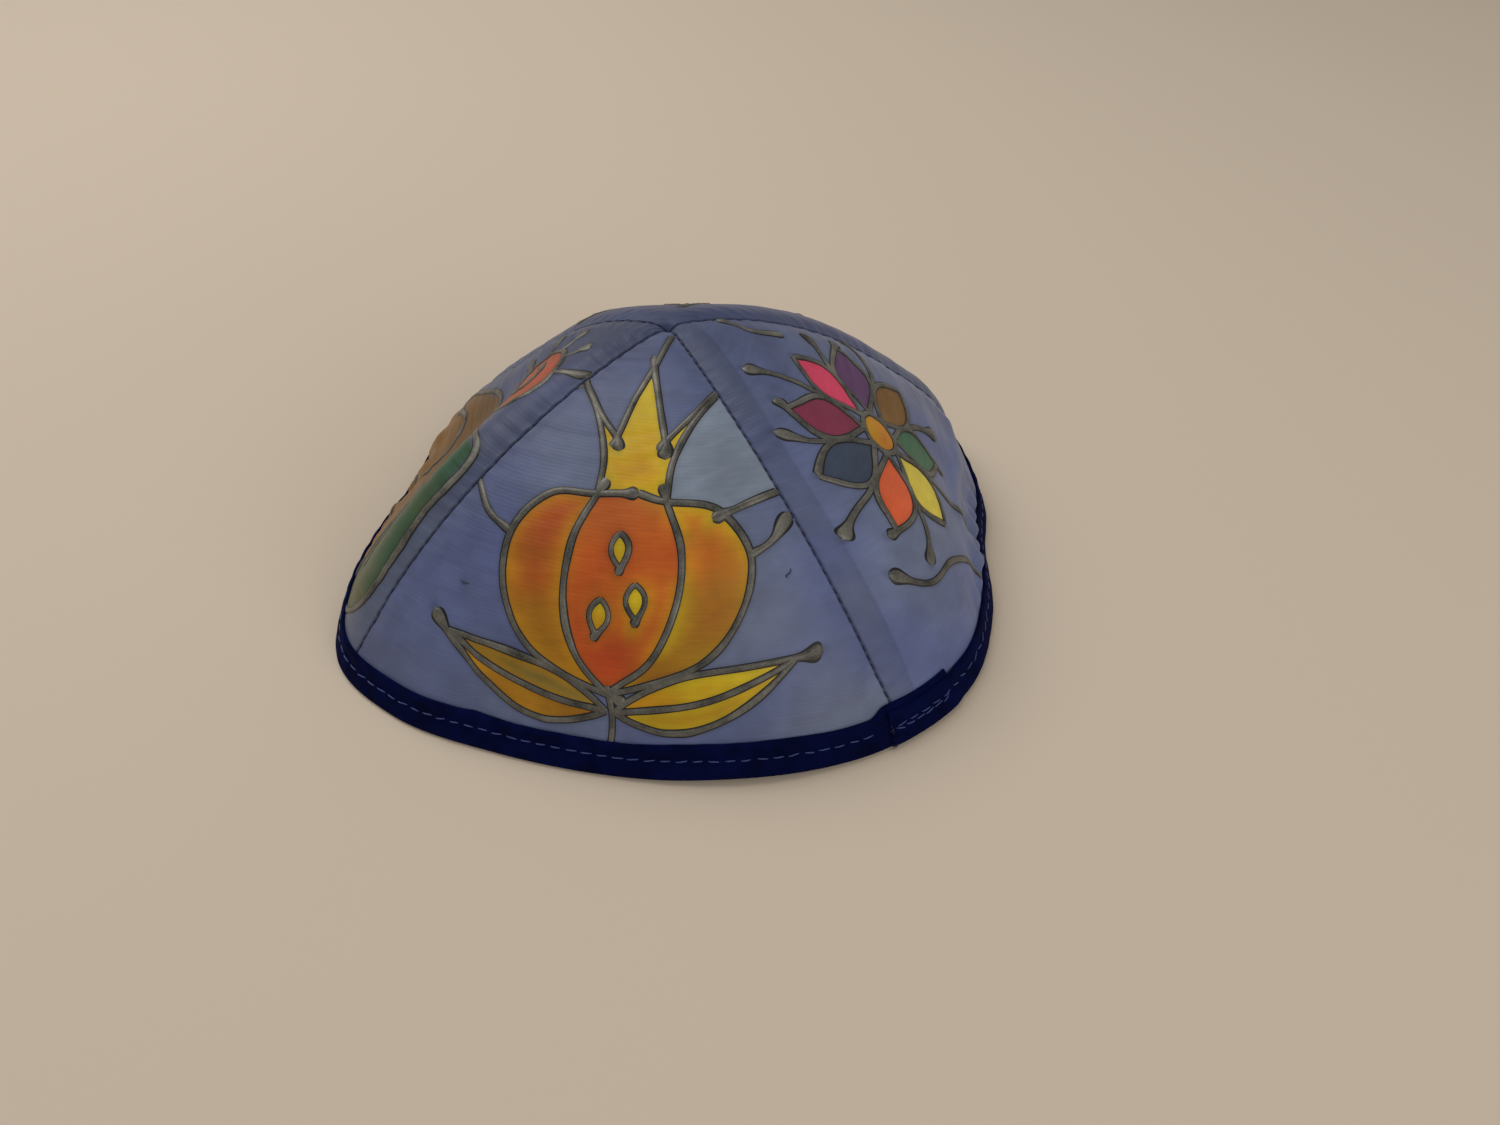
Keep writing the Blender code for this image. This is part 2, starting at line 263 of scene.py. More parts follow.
# %% [markdown]
# ## Camera
# The photograph looks down on the crown from the front, from about 30 cm. The lens was found
# from how fast the far side shrinks. A camera could be placed by eye, but one that stands off
# its target along the view line takes the photograph's numbers as they are.

# %% Camera
PHOTO_SIZE = (1500, 1125)
LENS_PIXELS = 1090       # focal length, in pixels of the photograph
CAMERA_TILT = 43.65      # degrees below the horizon
CAMERA_ROLL = 0.5
CAMERA_REACH = 257.95 * MM
CAMERA_TARGET = np.array([19.44, -35.46, 28.8]) * MM

tilt = np.radians(CAMERA_TILT)
back = np.array([0, -np.cos(tilt), np.sin(tilt)])
camera_place = CAMERA_TARGET + back * CAMERA_REACH
camera_data = bpy.data.cameras.new("camera")
camera_data.sensor_width = 36
camera_data.lens = 36 * LENS_PIXELS / PHOTO_SIZE[0]
camera_data.clip_start = 0.01
camera = new_object("camera", camera_data)
camera.matrix_world = (Matrix.Translation(camera_place)
                       @ Matrix.Rotation(np.pi / 2 - tilt, 4, "X")
                       @ Matrix.Rotation(np.radians(CAMERA_ROLL), 4, "Z"))
bpy.context.scene.camera = camera
print("camera at", np.round(camera_place / MM, 1), "mm, lens", round(camera_data.lens, 2), "mm")

# %% [markdown]
# ## Helpers for meshes and materials
# A surface here is a grid of points from one function of two parameters. The faces of a grid
# follow from its shape alone, so they are worked out as one array.

# %% Grids into meshes
def walked_along(points):
    """Distance from the first point to each, along the line through them."""
    return np.concatenate([[0], np.cumsum(np.linalg.norm(np.diff(points, axis=0), axis=-1))])


def unit(vectors):
    """The same directions, each one long."""
    return vectors / (np.linalg.norm(vectors, axis=-1, keepdims=True) + 1e-12)


def grid_faces(rows, columns, start=0, flip=False):
    """Quads of a grid stored row by row: each joins a point to the three after and below it."""
    corner = (np.arange(rows - 1)[:, None] * columns + np.arange(columns - 1)).ravel() + start
    faces = np.stack([corner, corner + columns, corner + columns + 1, corner + 1], axis=-1)
    return faces[:, ::-1] if flip else faces


def make_piece(name, points, faces, material, replaced=(), smooth_angle=50):
    """New piece of the object: points in the formulas' own place, moved to the model's."""
    mesh = bpy.data.meshes.new(name)
    mesh.from_pydata((points.reshape(-1, 3) + CENTRE).tolist(), [], faces)
    mesh.shade_smooth()
    mesh.set_sharp_from_angle(angle=np.radians(smooth_angle))
    mesh.materials.append(material)
    piece = new_object(name, mesh)
    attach(piece, "root")
    if replaced:
        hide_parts(*replaced)
    triangles = sum(len(p.vertices) - 2 for p in mesh.polygons)
    print(f"{name}: {len(mesh.vertices)} points, {triangles} triangles")
    return piece


def give_attribute(piece, name, kind, values):
    """Store one value for each point: kind is FLOAT or FLOAT_COLOR."""
    attribute = piece.data.attributes.new(name, kind, "POINT")
    field = "value" if kind == "FLOAT" else "color"
    attribute.data.foreach_set(field, np.ascontiguousarray(values, dtype=np.float32).ravel())


def give_uv(piece, flat):
    """UV map in metres along the cloth, for patterns that follow the surface."""
    loops = np.empty(len(piece.data.loops), dtype=np.int32)
    piece.data.loops.foreach_get("vertex_index", loops)
    layer = piece.data.uv_layers.new(name="cloth")
    layer.uv.foreach_set("vector", flat.reshape(-1, 2)[loops].astype(np.float32).ravel())


# %% [markdown]
# Colours are written as on a screen, in sRGB, and the shader works in linear light, so one
# function turns them. A material is a small tree of nodes, and one function adds each node.

# %% Colours and nodes
WAVE_TURN = 20               # radians that a Wave texture turns in one unit


def linear(code):
    """sRGB hex code to the linear red, green and blue that the shader works in."""
    values = np.array([int(code[i:i + 2], 16) / 255 for i in (1, 3, 5)])
    return np.where(values <= 0.04045, values / 12.92, ((values + 0.055) / 1.055) ** 2.4)


def rgba(code):
    """The same with a fourth value, as a node's colour input takes it."""
    return (*linear(code), 1)


def set_node(tree, node, settings=None, links=None):
    """Settings are the node's own properties or its inputs, links are input to output."""
    for key, value in (settings or {}).items():
        if isinstance(key, str) and hasattr(node, key):
            setattr(node, key, value)
        else:
            node.inputs[key].default_value = value
    for key, output in (links or {}).items():
        tree.links.new(output, node.inputs[key])
    return node


def add_node(tree, kind, settings=None, links=None):
    """New node of this kind, set and linked."""
    return set_node(tree, tree.nodes.new(kind), settings, links)


def new_material(name):
    """Empty material with its shader and its output, and the tree to build in."""
    material = bpy.data.materials.new(name)
    material.use_nodes = True
    tree = material.node_tree
    return material, tree, tree.nodes["Principled BSDF"]


def noise(tree, size, detail, roughness=0.5):
    """Noise with lumps of about this size, in the object's own space."""
    place = add_node(tree, "ShaderNodeTexCoord").outputs["Object"]
    return add_node(tree, "ShaderNodeTexNoise",
                    {"Scale": 1 / size, "Detail": detail, "Roughness": roughness},
                    {"Vector": place}).outputs["Fac"]


def stripes(tree, place, way, period, distortion, detail=2):
    """Soft stripes this far apart, across X or Y of a place in metres."""
    return add_node(tree, "ShaderNodeTexWave",
                    {"bands_direction": way, "Scale": 2 * np.pi / WAVE_TURN / period,
                     "Distortion": distortion, "Detail": detail},
                    {"Vector": place}).outputs["Fac"]


def ranged(tree, value, low, high, to_low=0, to_high=1, ease="LINEAR"):
    """A value carried from one range to another, and held at its ends."""
    return add_node(tree, "ShaderNodeMapRange",
                    {"interpolation_type": ease, "From Min": low, "From Max": high,
                     "To Min": to_low, "To Max": to_high},
                    {"Value": value}).outputs["Result"]


def product(tree, one, other):
    """One value times another."""
    return add_node(tree, "ShaderNodeMath", {"operation": "MULTIPLY"}, {0: one, 1: other}).outputs[0]


def weighted_sum(tree, one, weight, other):
    """One value times a weight, plus another."""
    return add_node(tree, "ShaderNodeMath", {"operation": "MULTIPLY_ADD", 1: weight},
                    {0: one, 2: other}).outputs[0]


def blend(tree, share, dark, light):
    """Colour between two, by a share."""
    return add_node(tree, "ShaderNodeMix", {"data_type": "RGBA", 6: rgba(dark), 7: rgba(light)},
                    {0: share}).outputs[2]


def relief(tree, height, strength, depth):
    """Normal of the surface with a low bump on it."""
    return add_node(tree, "ShaderNodeBump", {"Strength": strength, "Distance": depth},
                    {"Height": height}).outputs["Normal"]


# %% [markdown]
# ## Painted silk
# The cloth is habotai, a plain woven silk. It has a soft lustre and a faint rib across the
# gore, where thicker weft threads lie. Dye dries unevenly on it, so each field of colour is
# mottled and a little darker at its edge. The colour of each point comes from an attribute
# that the painting below fills in. The shader adds what is finer than the mesh.

# %% Material: dyed habotai silk
SILK_RIB = 0.9 * MM          # real threads are 0.1 mm, too fine to show, so ribs stand in
SILK_SLUB = 7 * MM
MOTTLE = 16 * MM


def habotai(name):
    """The dye attribute, which also carries painted light and shade, times soft clouds and slubs, with
    ribs and slubs as a low bump.
    """
    material, tree, shader = new_material(name)
    flat = add_node(tree, "ShaderNodeUVMap", {"uv_map": "cloth"}).outputs["UV"]
    dye = add_node(tree, "ShaderNodeAttribute", {"attribute_name": "dye"}).outputs["Color"]
    drawn = add_node(tree, "ShaderNodeMapping", {"Scale": (1 / SILK_SLUB, 1 / SILK_RIB, 1)},
                     {"Vector": flat}).outputs["Vector"]
    slub = add_node(tree, "ShaderNodeTexNoise", {"Scale": 1, "Detail": 2},
                    {"Vector": drawn}).outputs["Fac"]
    clouds = ranged(tree, noise(tree, MOTTLE, 4, 0.6), 0.3, 0.7, 0.86, 1.13)
    gain = product(tree, clouds, ranged(tree, slub, 0.3, 0.7, 0.955, 1.045))
    tint = add_node(tree, "ShaderNodeVectorMath", {"operation": "SCALE"},
                    {"Vector": dye, "Scale": gain}).outputs["Vector"]
    lustre = ranged(tree, slub, 0.3, 0.7, 0.46, 0.56)
    ribs = weighted_sum(tree, stripes(tree, flat, "Y", SILK_RIB, 1.5, 1), 0.35, slub)
    set_node(tree, shader,
             {"IOR": 1.5, "Specular IOR Level": 0.35, "Sheen Weight": 0.18, "Sheen Roughness": 0.4},
             {"Base Color": tint, "Roughness": lustre, "Normal": relief(tree, ribs, 0.28, 0.15 * MM)})
    return material


silk = habotai("dyed_habotai_silk")

# %% [markdown]
# ## The gore as flat cloth
# The painter works on flat silk, so the painting is laid out in millimetres on the flat gore:
# x across from its middle line, y down from the apex. Two tables turn a place on the flat
# gore into a place on the crown: the gore's width at each share, and the length of its middle
# line down to there.

# %% From flat gore to crown
TABLE_ROWS = 80


def gore_table(number):
    """Width across and length down the middle, summed from small steps over the crown."""
    share = np.linspace(0.0, 1.0, TABLE_ROWS)
    around = np.linspace(number, number + 1, 61)
    safe = np.maximum(share, 0.004)[:, None]
    points = crown(seam_azimuth(around[None], safe), safe)
    width = np.linalg.norm(np.diff(points, axis=1), axis=-1).sum(axis=1)
    return share, width, walked_along(points[:, 30])


TABLES = [gore_table(number) for number in range(4)]
for gore_name, table in zip(GORES, TABLES):
    print(f"{gore_name} gore: {table[1][-1] / MM:.0f} mm wide, {table[2][-1] / MM:.0f} mm long")


def on_gore(number, x, y):
    """Around and share of a place on the flat gore, by reading both tables."""
    share, width, length = TABLES[number]
    down = np.interp(y, length, share)
    half = 0.5 + x / np.maximum(np.interp(down, share, width), 1e-5)
    return number + np.clip(half, 0.0, 1.0), down


def flat_place(number, around, down):
    """The reverse: x and y on the flat gore."""
    share, width, length = TABLES[number]
    return (around - number - 0.5) * np.interp(down, share, width), np.interp(down, share, length)


# %% [markdown]
# ## The silk's own surface
# Thin silk is thinner than the solid wall, so it takes the outer face of that wall and goes
# inwards from there. Close to a seam it turns in and down, and it ripples a little where the
# seam's thread pulls. Along the right side of the front right seam a double layer of seam
# allowance lies under it, which shows as a faint step and a darker band.

# %% Seams, ripples and the allowance under the silk
SILK_FACE = 0.5 * MM
SILK_THICK = 0.35 * MM
SEAM_ROLL = 0.8 * MM         # width over which the silk turns in at a seam
SEAM_ROLL_DEPTH = 0.5 * MM
RIPPLE_PITCH = 4.3 * MM
RIPPLE_RISE = 0.13 * MM
ALLOWANCE = 8.0 * MM
ALLOWANCE_STEP = 0.12 * MM
SILK_UNEVEN = 0.11 * MM      # thin silk never lies quite even


def soft_step(value):
    """Cubic ease from 0 to 1: three value squared minus two value cubed."""
    value = np.clip(value, 0, 1)
    return value * value * (3 - 2 * value)


def cloud(x, y, size, seed):
    """Soft random values from -1 to 1: a lattice of them, eased from each to the next."""
    lattice = np.random.default_rng(seed).uniform(-1, 1, (64, 64))
    u, v = x / size + 640.3, y / size + 640.7
    i, j = np.floor(u).astype(int), np.floor(v).astype(int)
    s, t = soft_step(u - i), soft_step(v - j)
    i, j, k, m = i % 64, j % 64, (i + 1) % 64, (j + 1) % 64
    near = lattice[i, j] * (1 - s) + lattice[k, j] * s
    far = lattice[i, m] * (1 - s) + lattice[k, m] * s
    return near * (1 - t) + far * t


def to_seam(azimuth, share, number):
    """Signed distance from a seam, in metres, positive anticlockwise."""
    turn = turn_between(azimuth, seam_azimuth(number, share))
    return np.radians(turn) * plan_reach(azimuth, share)


def silk_offset(azimuth, share):
    """Height of the silk's face over the crown's middle surface."""
    offset = np.full(azimuth.shape, SILK_FACE)
    drop = rim_rate(azimuth)
    above_rim = (1 - share) * drop
    for number in range(4):
        away = np.abs(to_seam(azimuth, share, number))
        offset -= SEAM_ROLL_DEPTH * (1 - soft_step(away / SEAM_ROLL)) ** 2
        wave = np.sin(2 * np.pi * above_rim / RIPPLE_PITCH + 1.7 * number
                      + 1.5 * np.sin(above_rim / (9 * MM)))
        offset += RIPPLE_RISE * wave * np.exp(-away / (3.2 * MM)) * soft_step(away / SEAM_ROLL)
    away = to_seam(azimuth, share, 1)
    inside = soft_step(away / (1.5 * MM)) * soft_step((ALLOWANCE - away) / (0.8 * MM) + 0.5)
    round_way = np.radians(azimuth) * plan_reach(azimuth, share)
    uneven = cloud(round_way, above_rim, 11 * MM, 5) + 0.5 * cloud(round_way, above_rim, 5 * MM, 6)
    free = soft_step((above_rim - TAPE_HEIGHT) / (6 * MM)) * soft_step(share / 0.15)
    return offset + ALLOWANCE_STEP * inside + SILK_UNEVEN * uneven * free


def silk_point(azimuth, share, lift):
    """A point this far above the silk's face."""
    azimuth, share = np.broadcast_arrays(np.asarray(azimuth, float), np.asarray(share, float))
    return off_crown(azimuth, share, silk_offset(azimuth, share) + lift)


# %% [markdown]
# ## The painting: gutta lines and dye
# Each gore carries its own motif in one system: strokes are the gutta lines, patches are the
# fields of dye between them. A stroke is a smooth curve through a few points. A leaf is two
# strokes that meet, and a patch is a closed outline that runs under the strokes. The motifs
# are plain folk ones: a pomegranate, a ring of petals, hills under a sun and a leafy sprig.

# %% Curves on the flat gore
STROKE_STEP = 0.6 * MM
GUTTA_HALF = 0.66 * MM
HAND_SWAY = 0.20 * MM        # a steady hand still wanders this far off its line


def smooth_path(points, closed=False, step=STROKE_STEP):
    """Catmull-Rom curve through points in millimetres, read at even steps along its length."""
    points = np.array(points, float) * MM
    if closed:
        padded = np.concatenate([points[-1:], points, points[:2]])
    else:
        padded = np.concatenate([2 * points[:1] - points[1:2], points, 2 * points[-1:] - points[-2:-1]])
    t = np.linspace(0, 1, 24, endpoint=False)[:, None]
    a, b, c, d = (padded[i:len(padded) - 3 + i][:, None] for i in range(4))
    curve = 0.5 * (2 * b + (c - a) * t + (2 * a - 5 * b + 4 * c - d) * t ** 2
                   + (3 * b - a - 3 * c + d) * t ** 3)
    curve = np.concatenate([curve.reshape(-1, 2), padded[-2:-1]])
    walked = walked_along(curve)
    stations = np.linspace(0, walked[-1], max(int(walked[-1] / step), 6))
    return np.stack([np.interp(stations, walked, curve[:, i]) for i in range(2)], axis=-1)


def hand_drawn(path, phase):
    """The same path swayed sideways by two sines, and not at all at its ends."""
    tangent = unit(np.gradient(path, axis=0))
    walked = np.arange(len(path)) * STROKE_STEP
    sway = np.sin(walked / (9 * MM) + phase) + 0.6 * np.sin(walked / (3.7 * MM) + 2 * phase)
    ends = soft_step(np.minimum(walked, walked[-1] - walked) / (6 * MM))
    side = np.stack([-tangent[:, 1], tangent[:, 0]], axis=-1)
    return path + side * (HAND_SWAY * sway * ends)[:, None]


def leaf_sides(start, tip, width, bend=0.0, fullness=0.85):
    """Two sides and a midrib of a leaf: half its width times the sine of a power of the share."""
    start, tip = np.array(start, float), np.array(tip, float)
    t = np.linspace(0, 1, 13)[:, None]
    along = tip - start
    side = np.array([-along[1], along[0]]) / np.linalg.norm(along)
    rib = start + along * t + side * bend * np.sin(np.pi * t)
    spread = width / 2 * np.sin(np.pi * t ** fullness)
    return rib + side * spread, rib - side * spread, rib


def past_end(points, reach):
    """The same points with one more past the last, in millimetres, as a nozzle overshoots."""
    points = np.array(points, float)
    heading = points[-1] - points[-2]
    return np.concatenate([points, [points[-1] + heading / np.linalg.norm(heading) * reach]])


def between(one, other):
    """Outline of the field between two curves that share their last point, in millimetres."""
    return np.concatenate([smooth_path(one), smooth_path(other)[::-1]]) / MM


class Painting:
    """Strokes and patches of one gore, in metres on the flat cloth."""

    def __init__(self):
        """A bare gore: no strokes and no patches yet."""
        self.strokes = []
        self.patches = []

    def stroke(self, points, drops=(0, 0), closed=False, half=GUTTA_HALF):
        """One gutta line; drops are the radii, in mm, of the swellings at its two ends."""
        path = smooth_path(points, closed)
        if not closed:
            path = hand_drawn(path, len(self.strokes))
        self.strokes.append((path, drops, closed, half))

    def patch(self, outline, top, bottom, rim=None, smooth=True):
        """A field of dye, from one colour to another down the gore, with a third at its rim."""
        path = smooth_path(outline, closed=True) if smooth else np.array(outline, float) * MM
        self.patches.append((path, *(linear(DYES[dye]) for dye in (top, bottom, rim or top))))

    def leaf(self, start, tip, width, colours, bend=0.0, past=0.0, drop=1.1, rim=None):
        """A leaf of two halves, each its own colours, outlined, with a midrib."""
        one, other, rib = leaf_sides(start, tip, width, bend)
        for half, (top, bottom) in zip((one, other), colours):
            self.patch(np.concatenate([half, rib[::-1]]), top, bottom, rim, smooth=False)
        self.stroke(one)
        self.stroke(past_end(other, past) if past else other, (0, drop if past else 0))
        self.stroke(rib)


# %% [markdown]
# The dyes are named as a painter names the pots. Three blues make the ground between them, and the
# deepest blue also paints the shade round the apex.

# %% Dyes
BLUE = "#5e6a99"
DEEP_BLUE = "#414f80"
GREY_BLUE = "#6f7b94"
DYES = {
    "yellow": "#d6bd18", "lemon": "#dccb4a", "gold": "#c9920f", "orange": "#c4601a",
    "red": "#b8421a", "ochre": "#a06c12", "brown": "#7a5620", "olive": "#65602a",
    "green": "#2c6444", "slate": "#3c4a60", "coral": "#dc6238", "magenta": "#84304e",
    "pink": "#dd3f68", "purple": "#5d3a68", "mist": "#7d8ba0",
}
print("dyes:", ", ".join(DYES))

# %% [markdown]
# ### Front gore: a pomegranate
# Round body, open calyx, two leaves: the commonest fruit in this tradition. Yellow at the
# top runs through orange and red to ochre near the tape, and the fields keep a yellow rim
# where the first, lighter dye was not covered.

# %% Front painting
front = Painting()
BODY_LEFT = [(2, 51.5), (-8, 53), (-19, 54.5), (-27.5, 65), (-28, 78), (-20, 90), (-1, 97)]
BODY_RIGHT = [(2, 51.5), (9, 53), (21, 55), (29.5, 66), (29, 79), (20, 90), (-1, 97)]
RIB_LEFT = [(-6, 49), (-8, 53), (-12.5, 64), (-13.5, 77), (-9, 89), (-1, 97)]
RIB_RIGHT = [(7.5, 49), (9, 53), (13.5, 64), (14, 77), (9, 89), (-1, 97)]
CALYX_RIGHT = [(9, 53), (9, 44), (12, 35), (18, 24), (19, 19)]
SHOULDER = [(20, 57), (30, 54), (46, 51)]
front.patch(CALYX_RIGHT[:4] + [(26, 20), (50, 49)] + SHOULDER[::-1], "mist", "mist", smooth=False)
front.patch(between(BODY_LEFT, RIB_LEFT), "red", "ochre", rim="gold", smooth=False)
front.patch(between(BODY_RIGHT, RIB_RIGHT), "orange", "ochre", rim="yellow", smooth=False)
front.patch(between(RIB_LEFT, RIB_RIGHT), "orange", "red", rim="gold", smooth=False)
calyx = [(-8, 53), (-7.5, 44), (-11, 34), (-16.5, 25), (-10.5, 33), (-5.5, 38.5), (-3.5, 29), (0, 17),
         (3.5, 29), (6.5, 38.5), (11.5, 32), (18, 24), (12, 35), (9, 44), (9, 53), (2, 51.5)]
front.patch(calyx, "yellow", "gold", rim="yellow", smooth=False)
front.stroke(past_end(BODY_LEFT, 5), (1.2, 1.3))
front.stroke(BODY_RIGHT)
front.stroke(RIB_LEFT, (1.3, 0))
front.stroke(RIB_RIGHT, (1.1, 0))
front.stroke([(-8, 53), (-7.5, 44), (-11, 34), (-16.5, 25), (-23, 17)])
front.stroke([(-18, 27.5), (-16.5, 25), (-10.5, 33), (-5.5, 38.5), (-4.5, 42)], (1.4, 1.2))
front.stroke([(-6.5, 41), (-5.5, 38.5), (-3.5, 29), (0, 17), (2, 5)])
front.stroke([(-0.5, 14), (0, 17), (3.5, 29), (6.5, 38.5), (7, 43)], (1.0, 1.5))
front.stroke([(5.5, 41), (6.5, 38.5), (11.5, 32), (18, 24), (26, 20)], (1.0, 0))
front.stroke(CALYX_RIGHT, (0, 1.7))
front.stroke(SHOULDER, (1.3, 0))
front.stroke([(-1, 95), (0.5, 104), (0, 116)])
for seed, tip in (((-1, 61), (0, 69)), ((4, 72), (5, 80)), ((-4, 76), (-4.5, 84))):
    one, other, rib = leaf_sides(seed, tip, 4.6)
    front.patch(np.concatenate([one, other[::-1]]), "yellow", "gold", smooth=False)
    front.stroke(one, half=0.5 * MM)
    front.stroke(past_end(other, 1.6), (0, 0.9), half=0.5 * MM)
front.leaf((-1, 101), (-41, 90.5), 12.5, (("olive", "green"), ("gold", "ochre")),
           bend=-2.5, past=5, drop=1.6, rim="gold")
front.leaf((1, 101), (43, 89.5), 13, (("gold", "ochre"), ("yellow", "gold")),
           bend=2.5, past=6, drop=1.7, rim="yellow")
front.stroke([(-27.5, 65), (-33, 62), (-38, 57), (-43, 57.5)], (0.9, 1.7))
front.stroke([(29.5, 66), (34, 63.5), (38, 58)], (0.9, 1.8))

# %% [markdown]
# ### Right gore: a ring of petals
# Eight petals round a centre, each in its own colour, with a ray between each two. The rays
# start inside the ring and run on over the ground. A turned unit vector places each of them.

# %% Right painting
right = Painting()
RING = np.array((1.0, 60.0))
RING_HOLE, RING_REACH, RAY_START = 5.5, 27.0, 16.0
PETAL_COLOURS = ("brown", "green", "lemon", "coral", "slate", "magenta", "pink", "purple")
RAY_REACHES = (33, 42, 34, 37, 30, 38, 31, 35)


def spoke(degrees):
    """Unit vector on the flat gore, clockwise from the right."""
    angle = np.radians(degrees)
    return np.array([np.cos(angle), np.sin(angle)])


for number, colour in enumerate(PETAL_COLOURS):
    out = spoke(45 * number + 14)
    one, other, rib = leaf_sides(RING + RING_HOLE * out, RING + RING_REACH * out, 12.5, fullness=1.15)
    right.patch(np.concatenate([one, other[::-1]]), colour, colour, smooth=False)
    right.stroke(one)
    right.stroke(past_end(other, 3.5) if number % 2 else other, (0, 1.2 if number % 2 else 0))
    ray = spoke(45 * number + 36.5)
    bent = spoke(45 * number + 41 - 9 * (number % 2))
    reach = RAY_REACHES[number]
    right.stroke([RING + RAY_START * ray, RING + (RAY_START + reach) / 2 * ray, RING + reach * bent],
                 (0.9, 1.6))
hole = [RING + RING_HOLE * spoke(turn) for turn in range(0, 360, 40)]
right.patch(hole, "gold", "orange")
right.stroke(hole, closed=True)
right.stroke([(-33, 80), (-25, 88), (-14, 91), (-6, 98), (-4, 106)], (1.7, 0))
right.stroke([(14, 30), (9, 22), (10, 13)], (1.0, 1.5))

# %% [markdown]
# ### Back gore: a leafy sprig
# The back is mostly blue ground, with one stem and six leaves, so each leaf is a row.

# %% Back painting
back_gore = Painting()
back_gore.stroke([(2, 116), (0, 96), (-3, 76), (2, 58), (0, 40)])
SPRIG = (
    # start, tip, width, the two dyes of the upper half, those of the lower half, bend, overshoot
    ((0, 40), (-3, 15), 12, ("brown", "olive"), ("olive", "brown"), 0, 3),
    ((1, 55), (27, 30), 13, ("brown", "ochre"), ("brown", "brown"), 3, 4),
    ((-1, 62), (-30, 40), 13, ("slate", "slate"), ("green", "green"), -3, 4),
    ((-3, 74), (44, 56), 14, ("green", "green"), ("olive", "olive"), 4, 4),
    ((-2, 84), (-52, 64), 15, ("coral", "orange"), ("ochre", "brown"), -4, 0),
    ((0, 94), (60, 74), 15, ("gold", "ochre"), ("orange", "red"), 4, 0),
)
for start, tip, width, upper, lower, bend, past in SPRIG:
    back_gore.leaf(start, tip, width, (upper, lower), bend=bend, past=past)

# %% [markdown]
# ### Left gore: hills under a sun
# Fields that overlap like hills, and a round sun with rays.

# %% Left painting
left = Painting()
far_hill = [(-50, 116), (-45, 96), (-30, 72), (-13, 57), (4, 58), (14, 70), (22, 92), (25, 116)]
hill_top = [(4, 58), (13, 50), (24, 50), (33, 66), (41, 85), (40, 97), (30, 103)]
near_hill = hill_top + [(24, 103), (22, 92), (14, 70)]
left.patch(far_hill, "brown", "ochre", rim="brown", smooth=False)
left.patch(near_hill, "green", "olive", smooth=False)
left.stroke(far_hill)
left.stroke([(1, 62)] + hill_top + [(20, 105)], (1.2, 1.4))
left.stroke([(-33, 84), (-22, 76), (-12, 80), (-7, 88)], (1.5, 1.3))
left.stroke([(-24, 104), (-12, 95), (0, 97), (7, 104)], (1.1, 1.6))
left.stroke([(20, 66), (25, 80), (28, 92)], (1.2, 1.0))
SUN = np.array((3.0, 37.0))
sun = [SUN + 10.5 * spoke(turn) for turn in range(0, 360, 30)]
left.patch(sun, "coral", "orange", rim="coral")
left.stroke(sun, closed=True)
left.stroke([SUN + (-6, -2), SUN + (-1, -4), SUN + (4, -1), SUN + (2, 4)], (1.0, 1.2))
for turn in (150, 185, 220, 262, 300):
    left.stroke([SUN + reach * spoke(turn + 2 * reach / 5) for reach in (10.5, 14, 18.5)], (0, 1.4))
PAINTINGS = (front, right, back_gore, left)
print("gutta lines:", [len(painting.strokes) for painting in PAINTINGS])

# %% [markdown]
# ## Silk gores
# The dye is worked out for every point of the silk's grid: inside which outline it lies, and
# how close the nearest gutta line is, because dye pools and darkens there. Painted light and
# shade go into the same colours: a level of light for each gore, and painted shade round the
# apex and in the seam valleys. An image could carry it, but colours stored on the points need
# no file and stay sharp enough at this scale.

# %% Dye on the grid
POOL_REACH = 1.4 * MM
RIM_REACH = 2.6 * MM
RIM_STRENGTH = 0.85
POOL_LOSS = 0.22
SEAM_LOSS = 0.22             # light lost in the valley of a seam
ALLOWANCE_LOSS = (0.05, 0.20, 0.08, 0.08)   # light lost beside the seam that starts each gore
PAINTED_LIGHT_SPAN = 60 * MM
PAINTED_GORE_LIGHT = (
    # painted light and shade: a gore's level of light, how much more it is one span to the right, and one
    # span down
    (1.00, 0.10, 0.05),
    (1.00, -0.14, 0.20),
    (0.70, 0, 0.05),
    (0.68, 0, 0.12),
)


def inside_outline(x, y, outline):
    """Even-odd rule: a point is inside if a line to its right crosses the outline oddly often."""
    xa, ya = outline.T
    xb, yb = np.roll(outline, -1, axis=0).T
    low_x, high_x = xa.min(), xa.max()
    low_y, high_y = ya.min(), ya.max()
    inside = np.zeros(x.shape, bool)
    near = np.flatnonzero((x > low_x) & (x < high_x) & (y > low_y) & (y < high_y))
    px, py = x[near][:, None], y[near][:, None]
    level = np.where(yb == ya, 1e-12, yb - ya)
    crossing = ((ya > py) != (yb > py)) & (px < xa + (py - ya) / level * (xb - xa))
    inside[near] = crossing.sum(axis=1) % 2 == 1
    return inside


def nearest_stroke(x, y, painting):
    """Distance from each point to the nearest gutta line, block by block to save memory."""
    marks = np.concatenate([path for path, _, _, _ in painting.strokes])
    marks = marks.astype(np.float32)
    flat = np.stack([x, y], axis=-1).astype(np.float32)
    blocks = np.array_split(flat, 60)
    return np.concatenate([np.sqrt(((b[:, None] - marks[None]) ** 2).sum(-1)).min(1) for b in blocks])


def seam_band(number, azimuth, share):
    """Share of light that is lost where the seam allowance lies under the silk."""
    away = to_seam(azimuth, share, number)
    width = ALLOWANCE + 0.5 * MM * np.sin(share * 9 + number)
    inside = soft_step(away / (0.8 * MM)) * soft_step((width - away) / (0.6 * MM) + 0.5)
    return ALLOWANCE_LOSS[number] * inside


